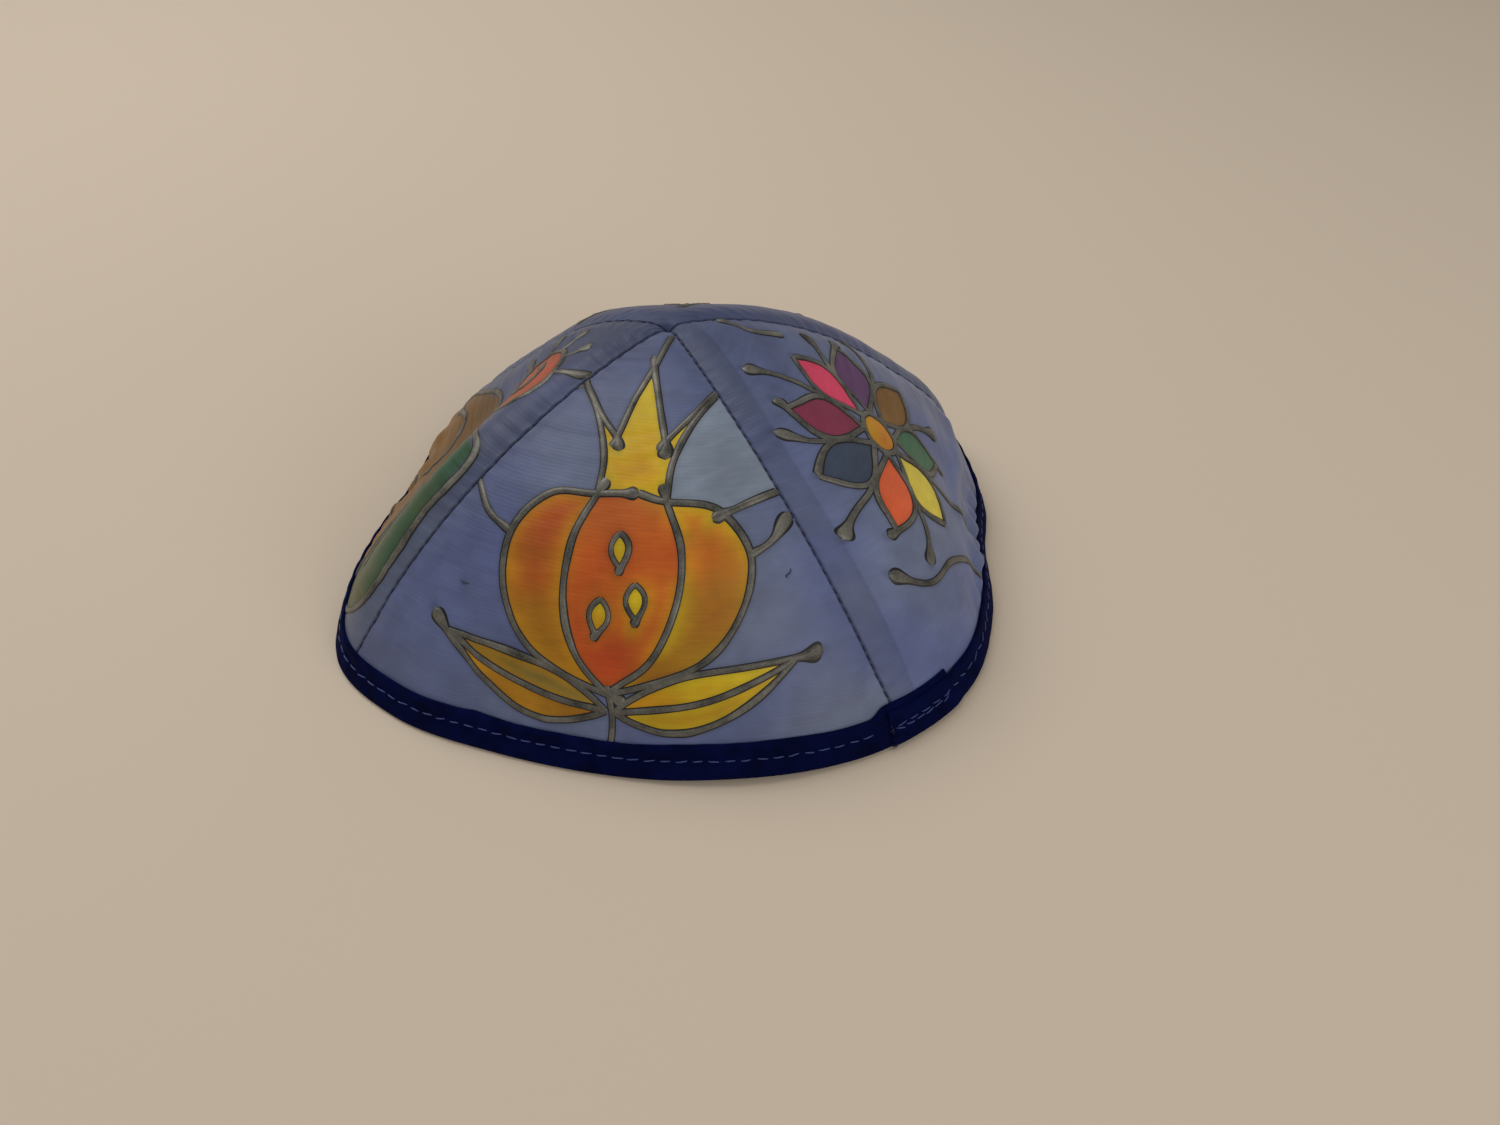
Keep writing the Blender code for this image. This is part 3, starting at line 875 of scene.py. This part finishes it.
def painted_gore_light(number, x, y):
    """Painted light and shade: a gore's own level of light, more or less across and down."""
    level, across, down = PAINTED_GORE_LIGHT[number]
    return level + across * x / PAINTED_LIGHT_SPAN + down * (y - PAINTED_LIGHT_SPAN) / PAINTED_LIGHT_SPAN


def ground_blue(x, y, seed):
    """Brushed blue: three blues mixed by soft clouds, and painted shade round the apex."""
    wide = cloud(x, y, 34 * MM, seed) + 0.5 * cloud(x, y, 13 * MM, seed + 1)
    fine = 0.5 + 0.5 * cloud(x, y, 21 * MM, seed + 2)
    grey = 0.75 * soft_step(0.5 + 0.5 * wide)
    colour = linear(BLUE) + (linear(GREY_BLUE) - linear(BLUE)) * grey[:, None]
    # painted shade round the apex, and random patches of deeper dye
    deep_dye_and_apex_shade = soft_step(1.15 - y / (60 * MM)) * 0.55 + 0.30 * fine * soft_step(0.4 - 0.6 * wide)
    return colour + (linear(DEEP_BLUE) - colour) * np.clip(deep_dye_and_apex_shade, 0, 0.85)[:, None]


def dye_and_shade_colours(number, x, y, azimuth, share):
    """Linear colour of each point: ground, fields of dye, pools by the gutta, allowances, and painted
    light and shade.
    """
    painting = PAINTINGS[number]
    colour = ground_blue(x, y, 40 + 10 * number)
    near = nearest_stroke(x, y, painting)
    painted = np.zeros(len(x), bool)
    for order, (outline, top, bottom, rim) in enumerate(painting.patches):
        inside = inside_outline(x, y, outline)
        low, high = outline[:, 1].min(), outline[:, 1].max()
        bleed = 0.22 * cloud(x, y, 9 * MM, 90 + order) + 0.10 * cloud(x, y, 4 * MM, 91 + order)
        mix = soft_step(1.3 * (y - low) / (high - low) - 0.15 + bleed)[:, None]
        dye = top + (bottom - top) * mix
        glow = np.exp(-np.clip(near - GUTTA_HALF, 0, None) / RIM_REACH)
        glow = glow * soft_step(0.65 + 0.9 * cloud(x, y, 15 * MM, 60 + order))
        dye = dye + (rim - dye) * (RIM_STRENGTH * glow)[:, None]
        colour[inside] = dye[inside]
        painted |= inside
    colour *= (1 + 0.07 * cloud(x, y, 6 * MM, 7) + 0.05 * cloud(x, y, 2.6 * MM, 8))[:, None]
    pool = 1 - soft_step((near - GUTTA_HALF) / POOL_REACH)
    colour *= 1 - (POOL_LOSS * pool * np.where(painted, 0.8, 1.0))[:, None]
    # painted light and shade for each gore, with the darker band where the seam allowance lies under the
    # silk
    colour *= (1 - seam_band(number, azimuth, share))[:, None] * painted_gore_light(number, x, y)[:, None]
    # painted shade in the valley of each seam
    for seam in range(4):
        close = np.abs(to_seam(azimuth, share, seam))
        colour *= 1 - SEAM_LOSS * np.exp(-np.square(close / (0.6 * MM)))[:, None]
    return np.concatenate([colour, np.ones((len(x), 1))], axis=1)


# %% [markdown]
# Each gore is a fine outer grid and a coarser inner one, closed round its edge, so it is a
# real sheet with a thickness. Its columns crowd together at the seams, where the silk rolls.

# %% Gore grids
GORE_COLUMNS = 216
GORE_ROWS = 232
INNER_EVERY = 4              # the inner grid takes one point in this many each way
CROWDED = 0.02               # share of a gore's width with crowded columns at each seam
TIP_SHARE = 0.006            # the gores stop this near the apex, where their tips meet
HEM = 2.0 * MM               # raw edge of the silk above the tape's fold


def crowded_columns(count, extra=12):
    """Shares across a gore, even in the middle and four times closer beside each seam."""
    edge = np.linspace(0, CROWDED, extra + 1)
    middle = np.linspace(CROWDED, 1 - CROWDED, count - 2 * extra + 1)
    return np.concatenate([edge[:-1], middle, 1 - edge[:-1][::-1]])


def edge_ring(rows, columns):
    """Indices round a grid's edge: along the top, down, back along the bottom and up."""
    index = np.arange(rows * columns).reshape(rows, columns)
    return np.concatenate([index[0, :-1], index[:-1, -1], index[-1, :0:-1], index[:0:-1, 0]])


def sheet_faces(outer_shape, inner_shape):
    """Faces of the outer grid, of the inner one turned over, and of the strip round their edge."""
    start = outer_shape[0] * outer_shape[1]
    outer_ring = edge_ring(*outer_shape)
    inner_ring = edge_ring(*inner_shape) + start
    strip = []
    for k, corner in enumerate(inner_ring):
        run = np.take(outer_ring, range(k * INNER_EVERY, (k + 1) * INNER_EVERY + 1), mode="wrap")
        strip.append([*run.tolist(), int(inner_ring[(k + 1) % len(inner_ring)]), int(corner)])
    return grid_faces(*outer_shape).tolist() + grid_faces(*inner_shape, start, flip=True).tolist() + strip


# %% Silk gores
def silk_gore(number):
    """Outer face at the silk's height, inner face one thickness below it."""
    across = number + crowded_columns(GORE_COLUMNS)
    down = np.linspace(0, 1, GORE_ROWS + 1)
    end = 1 - HEM / rim_rate(seam_azimuth(across, 1.0))
    share = TIP_SHARE + (end[None] - TIP_SHARE) * down[:, None]
    around = np.broadcast_to(across[None], share.shape)
    azimuth = seam_azimuth(around, share)
    pick = (slice(None, None, INNER_EVERY), slice(None, None, INNER_EVERY))
    outer = silk_point(azimuth, share, 0.0)
    inner = silk_point(azimuth[pick], share[pick], -SILK_THICK)
    points = np.concatenate([outer.reshape(-1, 3), inner.reshape(-1, 3)])
    name = GORES[number]
    faces = sheet_faces(outer.shape[:2], inner.shape[:2])
    piece = make_piece(f"silk_{name}", points, faces, silk, (f"panel_{name}",), smooth_angle=70)
    azimuth, share, around = (np.concatenate([grid.ravel(), grid[pick].ravel()])
                              for grid in (azimuth, share, around))
    x, y = flat_place(number, around, share)
    # the dye attribute carries painted light and shade along with the dye
    give_attribute(piece, "dye", "FLOAT_COLOR", dye_and_shade_colours(number, x, y, azimuth, share))
    give_uv(piece, np.stack([x, y], axis=-1))


for number in range(4):
    silk_gore(number)

# %% [markdown]
# ## Gutta lines
# Silver grey gutta dries as a low rounded bead, about 2 mm wide. It swells into a drop where
# the bottle's nozzle was set down or lifted. Beside it the silk stays nearly black, because
# dye creeps under its edge. A bevelled curve would be round and stand too high, so each line
# is a ribbon: a low bead with two thin dark skirts, carried along the stroke on the crown.

# %% Material: dried metallic gutta
GUTTA_GRAIN = 0.5 * MM
GUTTA_PATCH = 6 * MM


def gutta_material():
    """Grainy grey from the bead's middle, turning dark where the edge attribute nears 1."""
    material, tree, shader = new_material("dried_silver_gutta")
    edge = add_node(tree, "ShaderNodeAttribute", {"attribute_name": "edge"}).outputs["Fac"]
    grain = noise(tree, GUTTA_GRAIN, 3)
    tone = weighted_sum(tree, grain, 0.5, noise(tree, GUTTA_PATCH, 2))
    bead = blend(tree, ranged(tree, tone, 0.5, 1), "#3b3b38", "#7c7c75")
    skirt = ranged(tree, edge, 0.58, 0.76, ease="SMOOTHSTEP")
    colour = add_node(tree, "ShaderNodeMix", {"data_type": "RGBA", 7: rgba("#1d1d22")},
                      {0: skirt, 6: bead}).outputs[2]
    set_node(tree, shader, {"Metallic": 0.25, "Roughness": 0.42},
             {"Base Color": colour, "Normal": relief(tree, grain, 0.35, 0.1 * MM)})
    return material


gutta = gutta_material()

# %% Ribbons along the strokes
BEAD_SECTION = (
    # share of the line's half width, height above the silk in mm
    (-1.38, 0.02), (-1.05, 0.05), (-0.70, 0.20), (-0.24, 0.28), (0.24, 0.28), (0.70, 0.20),
    (1.05, 0.05), (1.38, 0.02), (1.2, -0.12), (-1.2, -0.12),
)
BEAD_REACH = 1.38            # the skirts' share of the half width
STROKE_END = 3 * MM          # how far a stroke runs on under the tape, and stays off the apex


def width_along(walked, half, drops, phase):
    """Half width at each station: the line's own, swelling to a drop with a long neck."""
    wobble = 1 + 0.13 * np.sin(walked / (2.9 * MM) + phase)
    wobble = wobble + 0.10 * np.sin(walked / (8.3 * MM) + 2 * phase)
    width = half * wobble * np.interp(np.mod(phase * 0.37, 1), [0, 1], [0.86, 1.12])
    for drop, distance in zip(drops, (walked, walked[-1] - walked)):
        radius = max(drop * MM, half * 0.9)
        chord = np.sqrt(np.clip(radius ** 2 - (distance - radius) ** 2, 0, None))
        neck = (radius - half) * np.exp(-np.square((distance - radius) / (1.5 * radius)))
        swollen = np.maximum(width, half + neck)
        width = np.where(distance < radius, chord, swollen)
    return np.maximum(width, 0.10 * MM)


def within_gore(number, path):
    """Stations of a stroke that lie between the seams, below the apex and above the tape."""
    share, width, length = TABLES[number]
    end = 1 - (TAPE_HEIGHT - STROKE_END) / np.diff(length)[-1] * np.diff(share)[-1]
    under_tape = np.interp(end, share, length)
    half = np.interp(path[:, 1], length, width) / 2
    in_width = np.abs(path[:, 0]) < half + 1.2 * MM
    return in_width & (path[:, 1] < under_tape) & (path[:, 1] > STROKE_END)


def ribbon(number, path, drops, closed, half, phase):
    """Grid of a stroke: stations along it by points round the bead's section."""
    inside = within_gore(number, path)
    path = path[inside]
    tangent = unit(np.gradient(path, axis=0))
    side = np.stack([-tangent[:, 1], tangent[:, 0]], axis=-1)
    walked = np.arange(len(path)) * STROKE_STEP
    drops = (drops[0] if inside[0] else 0, drops[1] if inside[-1] else 0)
    width = np.full(len(path), half) if closed else width_along(walked, half, drops, phase)
    section = np.array(BEAD_SECTION)
    flat = path[:, None] + side[:, None] * (width[:, None] * section[:, 0])[..., None]
    swell = np.sqrt(width / half)[:, None]
    lift = section[None, :, 1] * MM * np.where(section[None, :, 1] > 0, swell, 1)
    around, share = on_gore(number, flat[..., 0], flat[..., 1])
    points = silk_point(seam_azimuth(around, share), share, lift)
    edge = np.broadcast_to(np.abs(section[:, 0]) / BEAD_REACH, points.shape[:2])
    return points, edge


def tube_faces(rows, columns, start):
    """Quads of a closed tube of sections, with one polygon to cap each end."""
    index = np.arange(rows * columns).reshape(rows, columns) + start
    after = np.roll(index, -1, axis=1)
    faces = np.stack([index[:-1], after[:-1], after[1:], index[1:]], axis=-1).reshape(-1, 4)
    return faces.tolist() + [index[0][::-1].tolist(), index[-1].tolist()]


def gutta_lines(number):
    """All the strokes of one gore, joined in one piece."""
    points, edges, faces, start = [], [], [], 0
    for phase, (path, drops, closed, half) in enumerate(PAINTINGS[number].strokes):
        grid, edge = ribbon(number, path, drops, closed, half, phase)
        points.append(grid.reshape(-1, 3))
        edges.append(edge.ravel())
        faces += tube_faces(*grid.shape[:2], start)
        start += len(points[-1])
    piece = make_piece(f"gutta_{GORES[number]}", np.concatenate(points), faces, gutta)
    give_attribute(piece, "edge", "FLOAT", np.concatenate(edges))


for number in range(4):
    gutta_lines(number)

# %% [markdown]
# ## Bias tape
# The rim is bound with a cotton tape cut on the bias and folded in half over the raw silk.
# It starts at its cut end at the front right, goes once round, and passes under itself for
# about 2 cm, where its upper edge peeps out. So the tape is one long strip: its section, a
# folded strip of cloth with a real thickness, is carried along the rim for a little more
# than a full turn.

# %% Material: navy cotton bias tape
TWILL = 0.62 * MM            # real threads are 0.2 mm, drawn coarser so that they show
TAPE_WEAR = 5 * MM


def bias_cotton():
    """Two crossed waves make the weave, turned 45 degrees, because the tape is cut on the bias."""
    material, tree, shader = new_material("navy_cotton_bias_tape")
    flat = add_node(tree, "ShaderNodeUVMap", {"uv_map": "cloth"}).outputs["UV"]
    turned = add_node(tree, "ShaderNodeMapping", {"Rotation": (0, 0, np.radians(45))},
                      {"Vector": flat}).outputs["Vector"]
    weave = product(tree, *(stripes(tree, turned, way, TWILL, 0.6) for way in "XY"))
    tone = weighted_sum(tree, weave, 0.35, noise(tree, TAPE_WEAR, 4))
    colour = blend(tree, ranged(tree, tone, 0.35, 0.95), "#030726", "#08134a")
    set_node(tree, shader, {"Roughness": 0.78, "Specular IOR Level": 0.03},
             {"Base Color": colour, "Normal": relief(tree, weave, 0.5, 0.12 * MM)})
    return material


cotton = bias_cotton()

# %% [markdown]
# The section starts at the outer face's upper edge, goes round the fold at the bottom and up
# inside, and comes back by the channel that holds the silk. Its relief is what sewing does to
# tape: the turned in edge swells, the stitch line sinks, and the bias pulls slanting ropes.

# %% Section of the folded tape
TAPE_THICK = 0.55 * MM
TAPE_CLEAR = 0.08 * MM       # between the silk's face and the tape
TAPE_ROLL = 0.32 * MM        # how much the turned in upper edge swells
LAP_FROM = 308.5             # azimuth of the cut end that lies on top
LAP_TO = 321.5               # azimuth of the other end, under it
LAP_EASE = 3.0               # degrees over which the upper tape comes down after the lap
LAP_RISE = 1.8 * MM          # how far the under layer's upper edge peeps out
TAPE_STATIONS = 720
STITCH_LINE = 5.3 * MM       # height of the topstitching above the fold
STITCH_PITCH = 3.7 * MM


def tape_section():
    """Closed section as (height above the fold, distance from the silk's middle, outwards).

    Straight legs joined by half circles at the fold and at the two upper edges.
    """
    inside = SILK_FACE + TAPE_CLEAR
    outside = inside + TAPE_THICK
    leg = np.linspace(0, 1, 15)
    top_arc = np.linspace(0, np.pi, 6)[1:-1]
    fold = np.linspace(0, np.pi, 11)[1:-1]
    middle = (inside + outside) / 2
    half = TAPE_THICK / 2
    outer = [(TAPE_HEIGHT - half - (TAPE_HEIGHT - half - outside) * s, outside) for s in leg]
    under = [(outside - outside * np.sin(a), outside * np.cos(a)) for a in fold]
    inner = [(outside + (TAPE_HEIGHT - half - outside) * s, -outside) for s in leg[::2]]
    crest_in = [(TAPE_HEIGHT - half + half * np.sin(a), -middle - half * np.cos(a)) for a in top_arc]
    channel_in = [(TAPE_HEIGHT - half, -inside), (HEM * 0.8, -inside)]
    channel_out = [(HEM * 0.8, inside), (TAPE_HEIGHT - half, inside)]
    crest_out = [(TAPE_HEIGHT - half + half * np.sin(a), middle - half * np.cos(a)) for a in top_arc]
    rows = outer + under + inner + crest_in + channel_in + channel_out + crest_out
    return np.array(rows)


def tape_relief(along, height, outer):
    """Extra height of the outer face: a swollen top edge, a sunk stitch line, diagonal ropes."""
    edge = bump(height - TAPE_HEIGHT + 1.1 * MM, 0.9 * MM) * TAPE_ROLL
    sunk = bump(height - STITCH_LINE, 0.7 * MM)
    pull = 0.6 + 0.4 * np.cos(2 * np.pi * along / STITCH_PITCH)
    rope = np.sin(2 * np.pi * (along + 0.9 * height) / (7.1 * MM) + 2 * np.sin(along / (31 * MM)))
    slow = np.sin(along / (13 * MM)) + 0.6 * np.sin(along / (5.3 * MM) + 1)
    body = soft_step(height / (2 * MM))
    return outer * (edge - 0.22 * MM * sunk * pull + 0.09 * MM * rope * body + 0.07 * MM * slow * body)


def tape_along(azimuth):
    """Distance round the rim from the tape's cut end, in metres."""
    fine = np.arange(LAP_FROM, LAP_FROM + 380, 0.5)
    return np.interp(azimuth, fine, walked_along(crown(fine, 1.0)))


def tape_surface(azimuth, height, outwards, outer=1.0):
    """Point of the tape: azimuth may pass a full turn, where the tape runs under itself."""
    along = tape_along(azimuth)
    over = 1 - soft_step((azimuth - LAP_TO) / LAP_EASE)
    under = soft_step((azimuth - LAP_FROM - 360 + LAP_EASE) / LAP_EASE)
    stand = over * (TAPE_THICK + TAPE_CLEAR)
    edge_wave = 0.16 * MM * np.sin(along / (11 * MM)) + 0.10 * MM * np.sin(along / (4.1 * MM) + 2)
    high = height * (1 + edge_wave / TAPE_HEIGHT)
    high = high + under * LAP_RISE * np.clip(height / TAPE_HEIGHT, 0, 1)
    offset = outwards + np.sign(outwards) * stand + tape_relief(along, height, outer)
    share = 1 - high / rim_rate(azimuth)
    points = off_crown(azimuth, share, offset)
    lowest = rim_lift(azimuth) + under * 0.5 * MM - CENTRE[2]
    points[..., 2] = np.maximum(points[..., 2], lowest)
    return points


# %% Rim tape
def rim_tape():
    """The strip: its section at every 0.8 mm along, from the cut end round and under itself."""
    section = tape_section()
    turn = np.linspace(LAP_FROM, LAP_TO + 360, TAPE_STATIONS)
    azimuth = np.broadcast_to(turn[:, None], (len(turn), len(section)))
    height = np.broadcast_to(section[:, 0], azimuth.shape)
    outwards = np.broadcast_to(section[:, 1], azimuth.shape)
    outer = (outwards > SILK_FACE + TAPE_CLEAR + TAPE_THICK * 0.7).astype(float)
    points = tape_surface(azimuth, height, outwards, outer)
    faces = tube_faces(*azimuth.shape, 0)
    piece = make_piece("rim_tape", points, faces, cotton, ("rim_binding",), smooth_angle=60)
    across = np.broadcast_to(walked_along(section), azimuth.shape)
    give_uv(piece, np.stack([tape_along(azimuth), across], axis=-1))
    length = float(tape_along(turn[-1]))
    print(f"  tape {length / MM:.0f} mm long, {2 * TAPE_HEIGHT / MM:.1f} mm wide when unfolded")


rim_tape()

# %% [markdown]
# ## Stitches
# Thread shows in four places: the lighter topstitching round the tape, dark stitches along
# the seams, two small tacks on the front gore, and the frayed threads at the tape's cut end.
# A stitch is a short rounded thread whose ends dive into the cloth, so one function makes
# them all at once from arrays of centre lines.

# %% Material: spun sewing thread
THREAD_TWIST = 0.5 * MM


def spun_thread(name, dark, light):
    """Thread mottled between two colours, as the turns of its plies catch the light."""
    material, tree, shader = new_material(name)
    twist = noise(tree, THREAD_TWIST, 2)
    colour = blend(tree, twist, dark, light)
    set_node(tree, shader, {"Roughness": 0.6, "Sheen Weight": 0.2},
             {"Base Color": colour, "Normal": relief(tree, twist, 0.4, 0.05 * MM)})
    return material


blue_thread = spun_thread("blue_polyester_thread", "#1c2e72", "#3d549c")
navy_thread = spun_thread("navy_polyester_thread", "#0c1336", "#1d2a5c")

# %% Threads from centre lines
THREAD_SIDES = 7
rng = np.random.default_rng(613)


def thread_mesh(name, lines, radius, material):
    """Tubes round centre lines: lines is (threads, stations, 3), radius is (threads, stations)."""
    tangent = unit(np.gradient(lines, axis=1))
    side = unit(np.cross(tangent, unit(lines + CENTRE)))
    up = np.cross(side, tangent)
    turn = np.linspace(0, 2 * np.pi, THREAD_SIDES, endpoint=False)
    ring = (side[:, :, None] * np.cos(turn)[:, None] + up[:, :, None] * np.sin(turn)[:, None])
    points = lines[:, :, None] + ring * radius[:, :, None, None]
    count, stations = lines.shape[:2]
    faces = []
    for number in range(count):
        faces += tube_faces(stations, THREAD_SIDES, number * stations * THREAD_SIDES)
    make_piece(name, points, faces, material, smooth_angle=80)


def taper(stations, radius, count):
    """Radius along a stitch: a half ellipse, so that its ends close as they dive."""
    t = np.linspace(-1, 1, stations)
    return np.tile(radius * np.sqrt(np.clip(1.04 - t ** 2, 0.03, None)), (count, 1))


# %% [markdown]
# ### Topstitching
# One row runs round the tape in a lighter blue. Stitches could be an array along a curve, but
# each of these has its own length and slant, so they are worked out together from the tape's
# surface. The row wanders more just past the lap, where the cloth feeds unevenly.

# %% Topstitching on the tape
STITCH_LENGTH = 2.9 * MM
STITCH_STATIONS = 8


def topstitching():
    """Stitches at an even pitch, each a shallow arch over the tape's outer face.

    The machine runs back over the lap, so a second, rougher row lies just below the first there.
    """
    fine = np.arange(LAP_FROM + 0.8, LAP_FROM + 359.0, 0.25)
    walked = tape_along(fine)
    centres = np.arange(walked[0] + STITCH_PITCH / 2, walked[-1] - STITCH_PITCH / 2, STITCH_PITCH)
    back = np.arange(0.7 * STITCH_PITCH, float(tape_along(LAP_TO)), 0.8 * STITCH_PITCH)
    centres = np.concatenate([centres, back])
    second_row = np.arange(len(centres))[:, None] >= len(centres) - len(back)
    centres += rng.uniform(-0.15, 0.15, len(centres)) * MM
    t = np.linspace(-1, 1, STITCH_STATIONS)
    length = STITCH_LENGTH * rng.uniform(0.86, 1.1, (len(centres), 1))
    azimuth = np.interp(centres[:, None] + t * length / 2, walked, fine)
    loose = ((azimuth > LAP_TO) & (azimuth < 350)).astype(float)
    slant = rng.uniform(-0.22, 0.22, (len(centres), 1)) * (1 + 2.2 * loose)
    slant = np.where(second_row, 3.0 * slant, slant)
    height = STITCH_LINE + slant * t * MM + 0.25 * MM * np.sin(centres / (17 * MM))[:, None]
    height = height - 0.8 * MM * second_row
    arch = 0.16 * MM - 0.30 * MM * t ** 4
    outwards = SILK_FACE + TAPE_CLEAR + TAPE_THICK + np.broadcast_to(arch, azimuth.shape)
    lines = tape_surface(azimuth, height, outwards)
    print("  stitches round the tape:", len(centres))
    thread_mesh("topstitching", lines, taper(STITCH_STATIONS, 0.155 * MM, len(centres)),
                blue_thread)


topstitching()

# %% [markdown]
# ### Seams
# The gores are joined by a dark thread whose stitches show in the valley between two gores.

# %% Stitches along the seams
SEAM_PITCH = 2.5 * MM


def seam_stitching():
    """Short stitches that lie in the valley of each seam, from near the apex to the tape."""
    lines = []
    t = np.linspace(-1, 1, 6)
    for number in range(4):
        rim = float(rim_rate(np.array([SEAMS_AT_RIM[number]]))[0])
        top, bottom = 0.03, 1 - (TAPE_HEIGHT - 0.5 * MM) / rim
        pitch = SEAM_PITCH / rim
        centres = np.arange(top, bottom, pitch)
        centres = centres + rng.uniform(-0.06, 0.06, len(centres)) * pitch
        share = centres[:, None] + t * 0.36 * pitch
        azimuth = seam_azimuth(float(number), share)
        aside = rng.uniform(-0.12, 0.12, (len(centres), 1)) * MM + 0.10 * MM * t
        azimuth = azimuth + np.degrees(aside / plan_reach(azimuth, share))
        lift = -SEAM_ROLL_DEPTH * 0.55 + 0.20 * MM - 0.35 * MM * t ** 4
        lines.append(off_crown(azimuth, share, SILK_FACE + np.broadcast_to(lift, azimuth.shape)))
    lines = np.concatenate(lines)
    thread_mesh("seam_stitching", lines, taper(6, 0.20 * MM, len(lines)), navy_thread)


seam_stitching()

# %% [markdown]
# ### Tacks and frayed ends
# Two short threads show on the front gore where something was caught from the inside, and the
# tape's cut end sheds its threads near the surface. Both are single threads on short bows.

# %% Tacks and frayed ends
TACKS = (
    # azimuth and share of each end, where a thread of the inside shows through
    (225.7, 0.683, 228.3, 0.689),
    (299.4, 0.609, 297.6, 0.632),
)
FRAY_THREADS = 26


def tacking():
    """Each tack: a thread on a short bow, its ends sunk in the silk and one of them hooked."""
    t = np.linspace(0, 1, 9)
    lines = []
    for azimuth, share, end_azimuth, end_share in TACKS:
        bow = np.sin(np.pi * t)
        way = azimuth + (end_azimuth - azimuth) * t + 0.35 * np.sin(2.6 * np.pi * t)
        down = share + (end_share - share) * t + 0.003 * np.sin(1.5 * np.pi * t)
        lines.append(silk_point(way, down, 0.30 * MM * bow - 0.10 * MM))
    thread_mesh("tacks", np.array(lines), taper(9, 0.17 * MM, len(lines)), navy_thread)


def fraying():
    """Loose threads of the tape's cut end: each leaves it and bends down under its weight."""
    t = np.linspace(0, 1, 6)
    low = rng.random((FRAY_THREADS, 1)) ** 2.2
    height = TAPE_HEIGHT * (1 - low) * 0.95
    length = (0.5 + 1.9 * low * rng.random((FRAY_THREADS, 1))) * MM
    heading = rng.uniform(-0.9, 0.5, (FRAY_THREADS, 1))
    turn = -np.degrees(length * t * np.cos(heading) / (RIM_WIDTH / 2))
    fall = length * (np.sin(heading) * t - 0.35 * t ** 2)
    azimuth = LAP_FROM + 0.5 + turn
    face = SILK_FACE + 2 * TAPE_CLEAR + 1.7 * TAPE_THICK
    stand = face + rng.uniform(-0.25, 0.1, (FRAY_THREADS, 1)) * MM
    outwards = stand + 0.5 * MM * t ** 2 * rng.random((FRAY_THREADS, 1))
    high = np.maximum(height + fall, 0.15 * MM)
    lines = off_crown(azimuth, 1 - high / rim_rate(azimuth), outwards)
    radius = np.broadcast_to(0.07 * MM * (1 - 0.5 * t), (FRAY_THREADS, 6))
    thread_mesh("frayed_threads", lines, radius, navy_thread)


tacking()
fraying()

# %% [markdown]
# ## Floor and light
# A plain pale floor and two large soft lights keep the eye on the cloth. The stronger one
# stands behind on the left, so that the crown shades off towards the front, and the weaker one
# in front on the right opens the shadows.

# %% Floor
floor_points = np.array([(-3, -3, 0), (3, -3, 0), (3, 3, 0), (-3, 3, 0)], float)
floor_mesh = bpy.data.meshes.new("floor")
floor_mesh.from_pydata(floor_points.tolist(), [], [(0, 1, 2, 3)])
floor_material, _, floor_shader = new_material("pale_matt_board")
floor_shader.inputs["Base Color"].default_value = rgba("#dccfbe")
floor_shader.inputs["Roughness"].default_value = 0.9
floor_mesh.materials.append(floor_material)
new_object("floor", floor_mesh)


# %% Lights
def area_light(name, place, target, size, power, colour):
    """Square soft light at a place, turned to its target."""
    data = bpy.data.lights.new(name, "AREA")
    data.size = size
    data.energy = power
    data.color = linear(colour)
    lamp = new_object(name, data)
    lamp.location = place
    direction = Vector(np.array(target) - np.array(place))
    lamp.rotation_euler = direction.to_track_quat("-Z", "Y").to_euler()
    print(f"{name}: {power} W, {size} m square")


area_light("window_light", (-0.50, 0.42, 1.0), (0, 0, 0.03), 0.8, 6.6, "#fffaf4")
area_light("fill_light", (0.75, -0.85, 0.62), (0, 0, 0.02), 0.9, 4.6, "#fff8f0")
world = bpy.data.worlds.new("room")
world.use_nodes = True
world.node_tree.nodes["Background"].inputs["Color"].default_value = rgba("#fff8f0")
world.node_tree.nodes["Background"].inputs["Strength"].default_value = 0.26
bpy.context.scene.world = world
bpy.context.scene.view_settings.view_transform = "Standard"
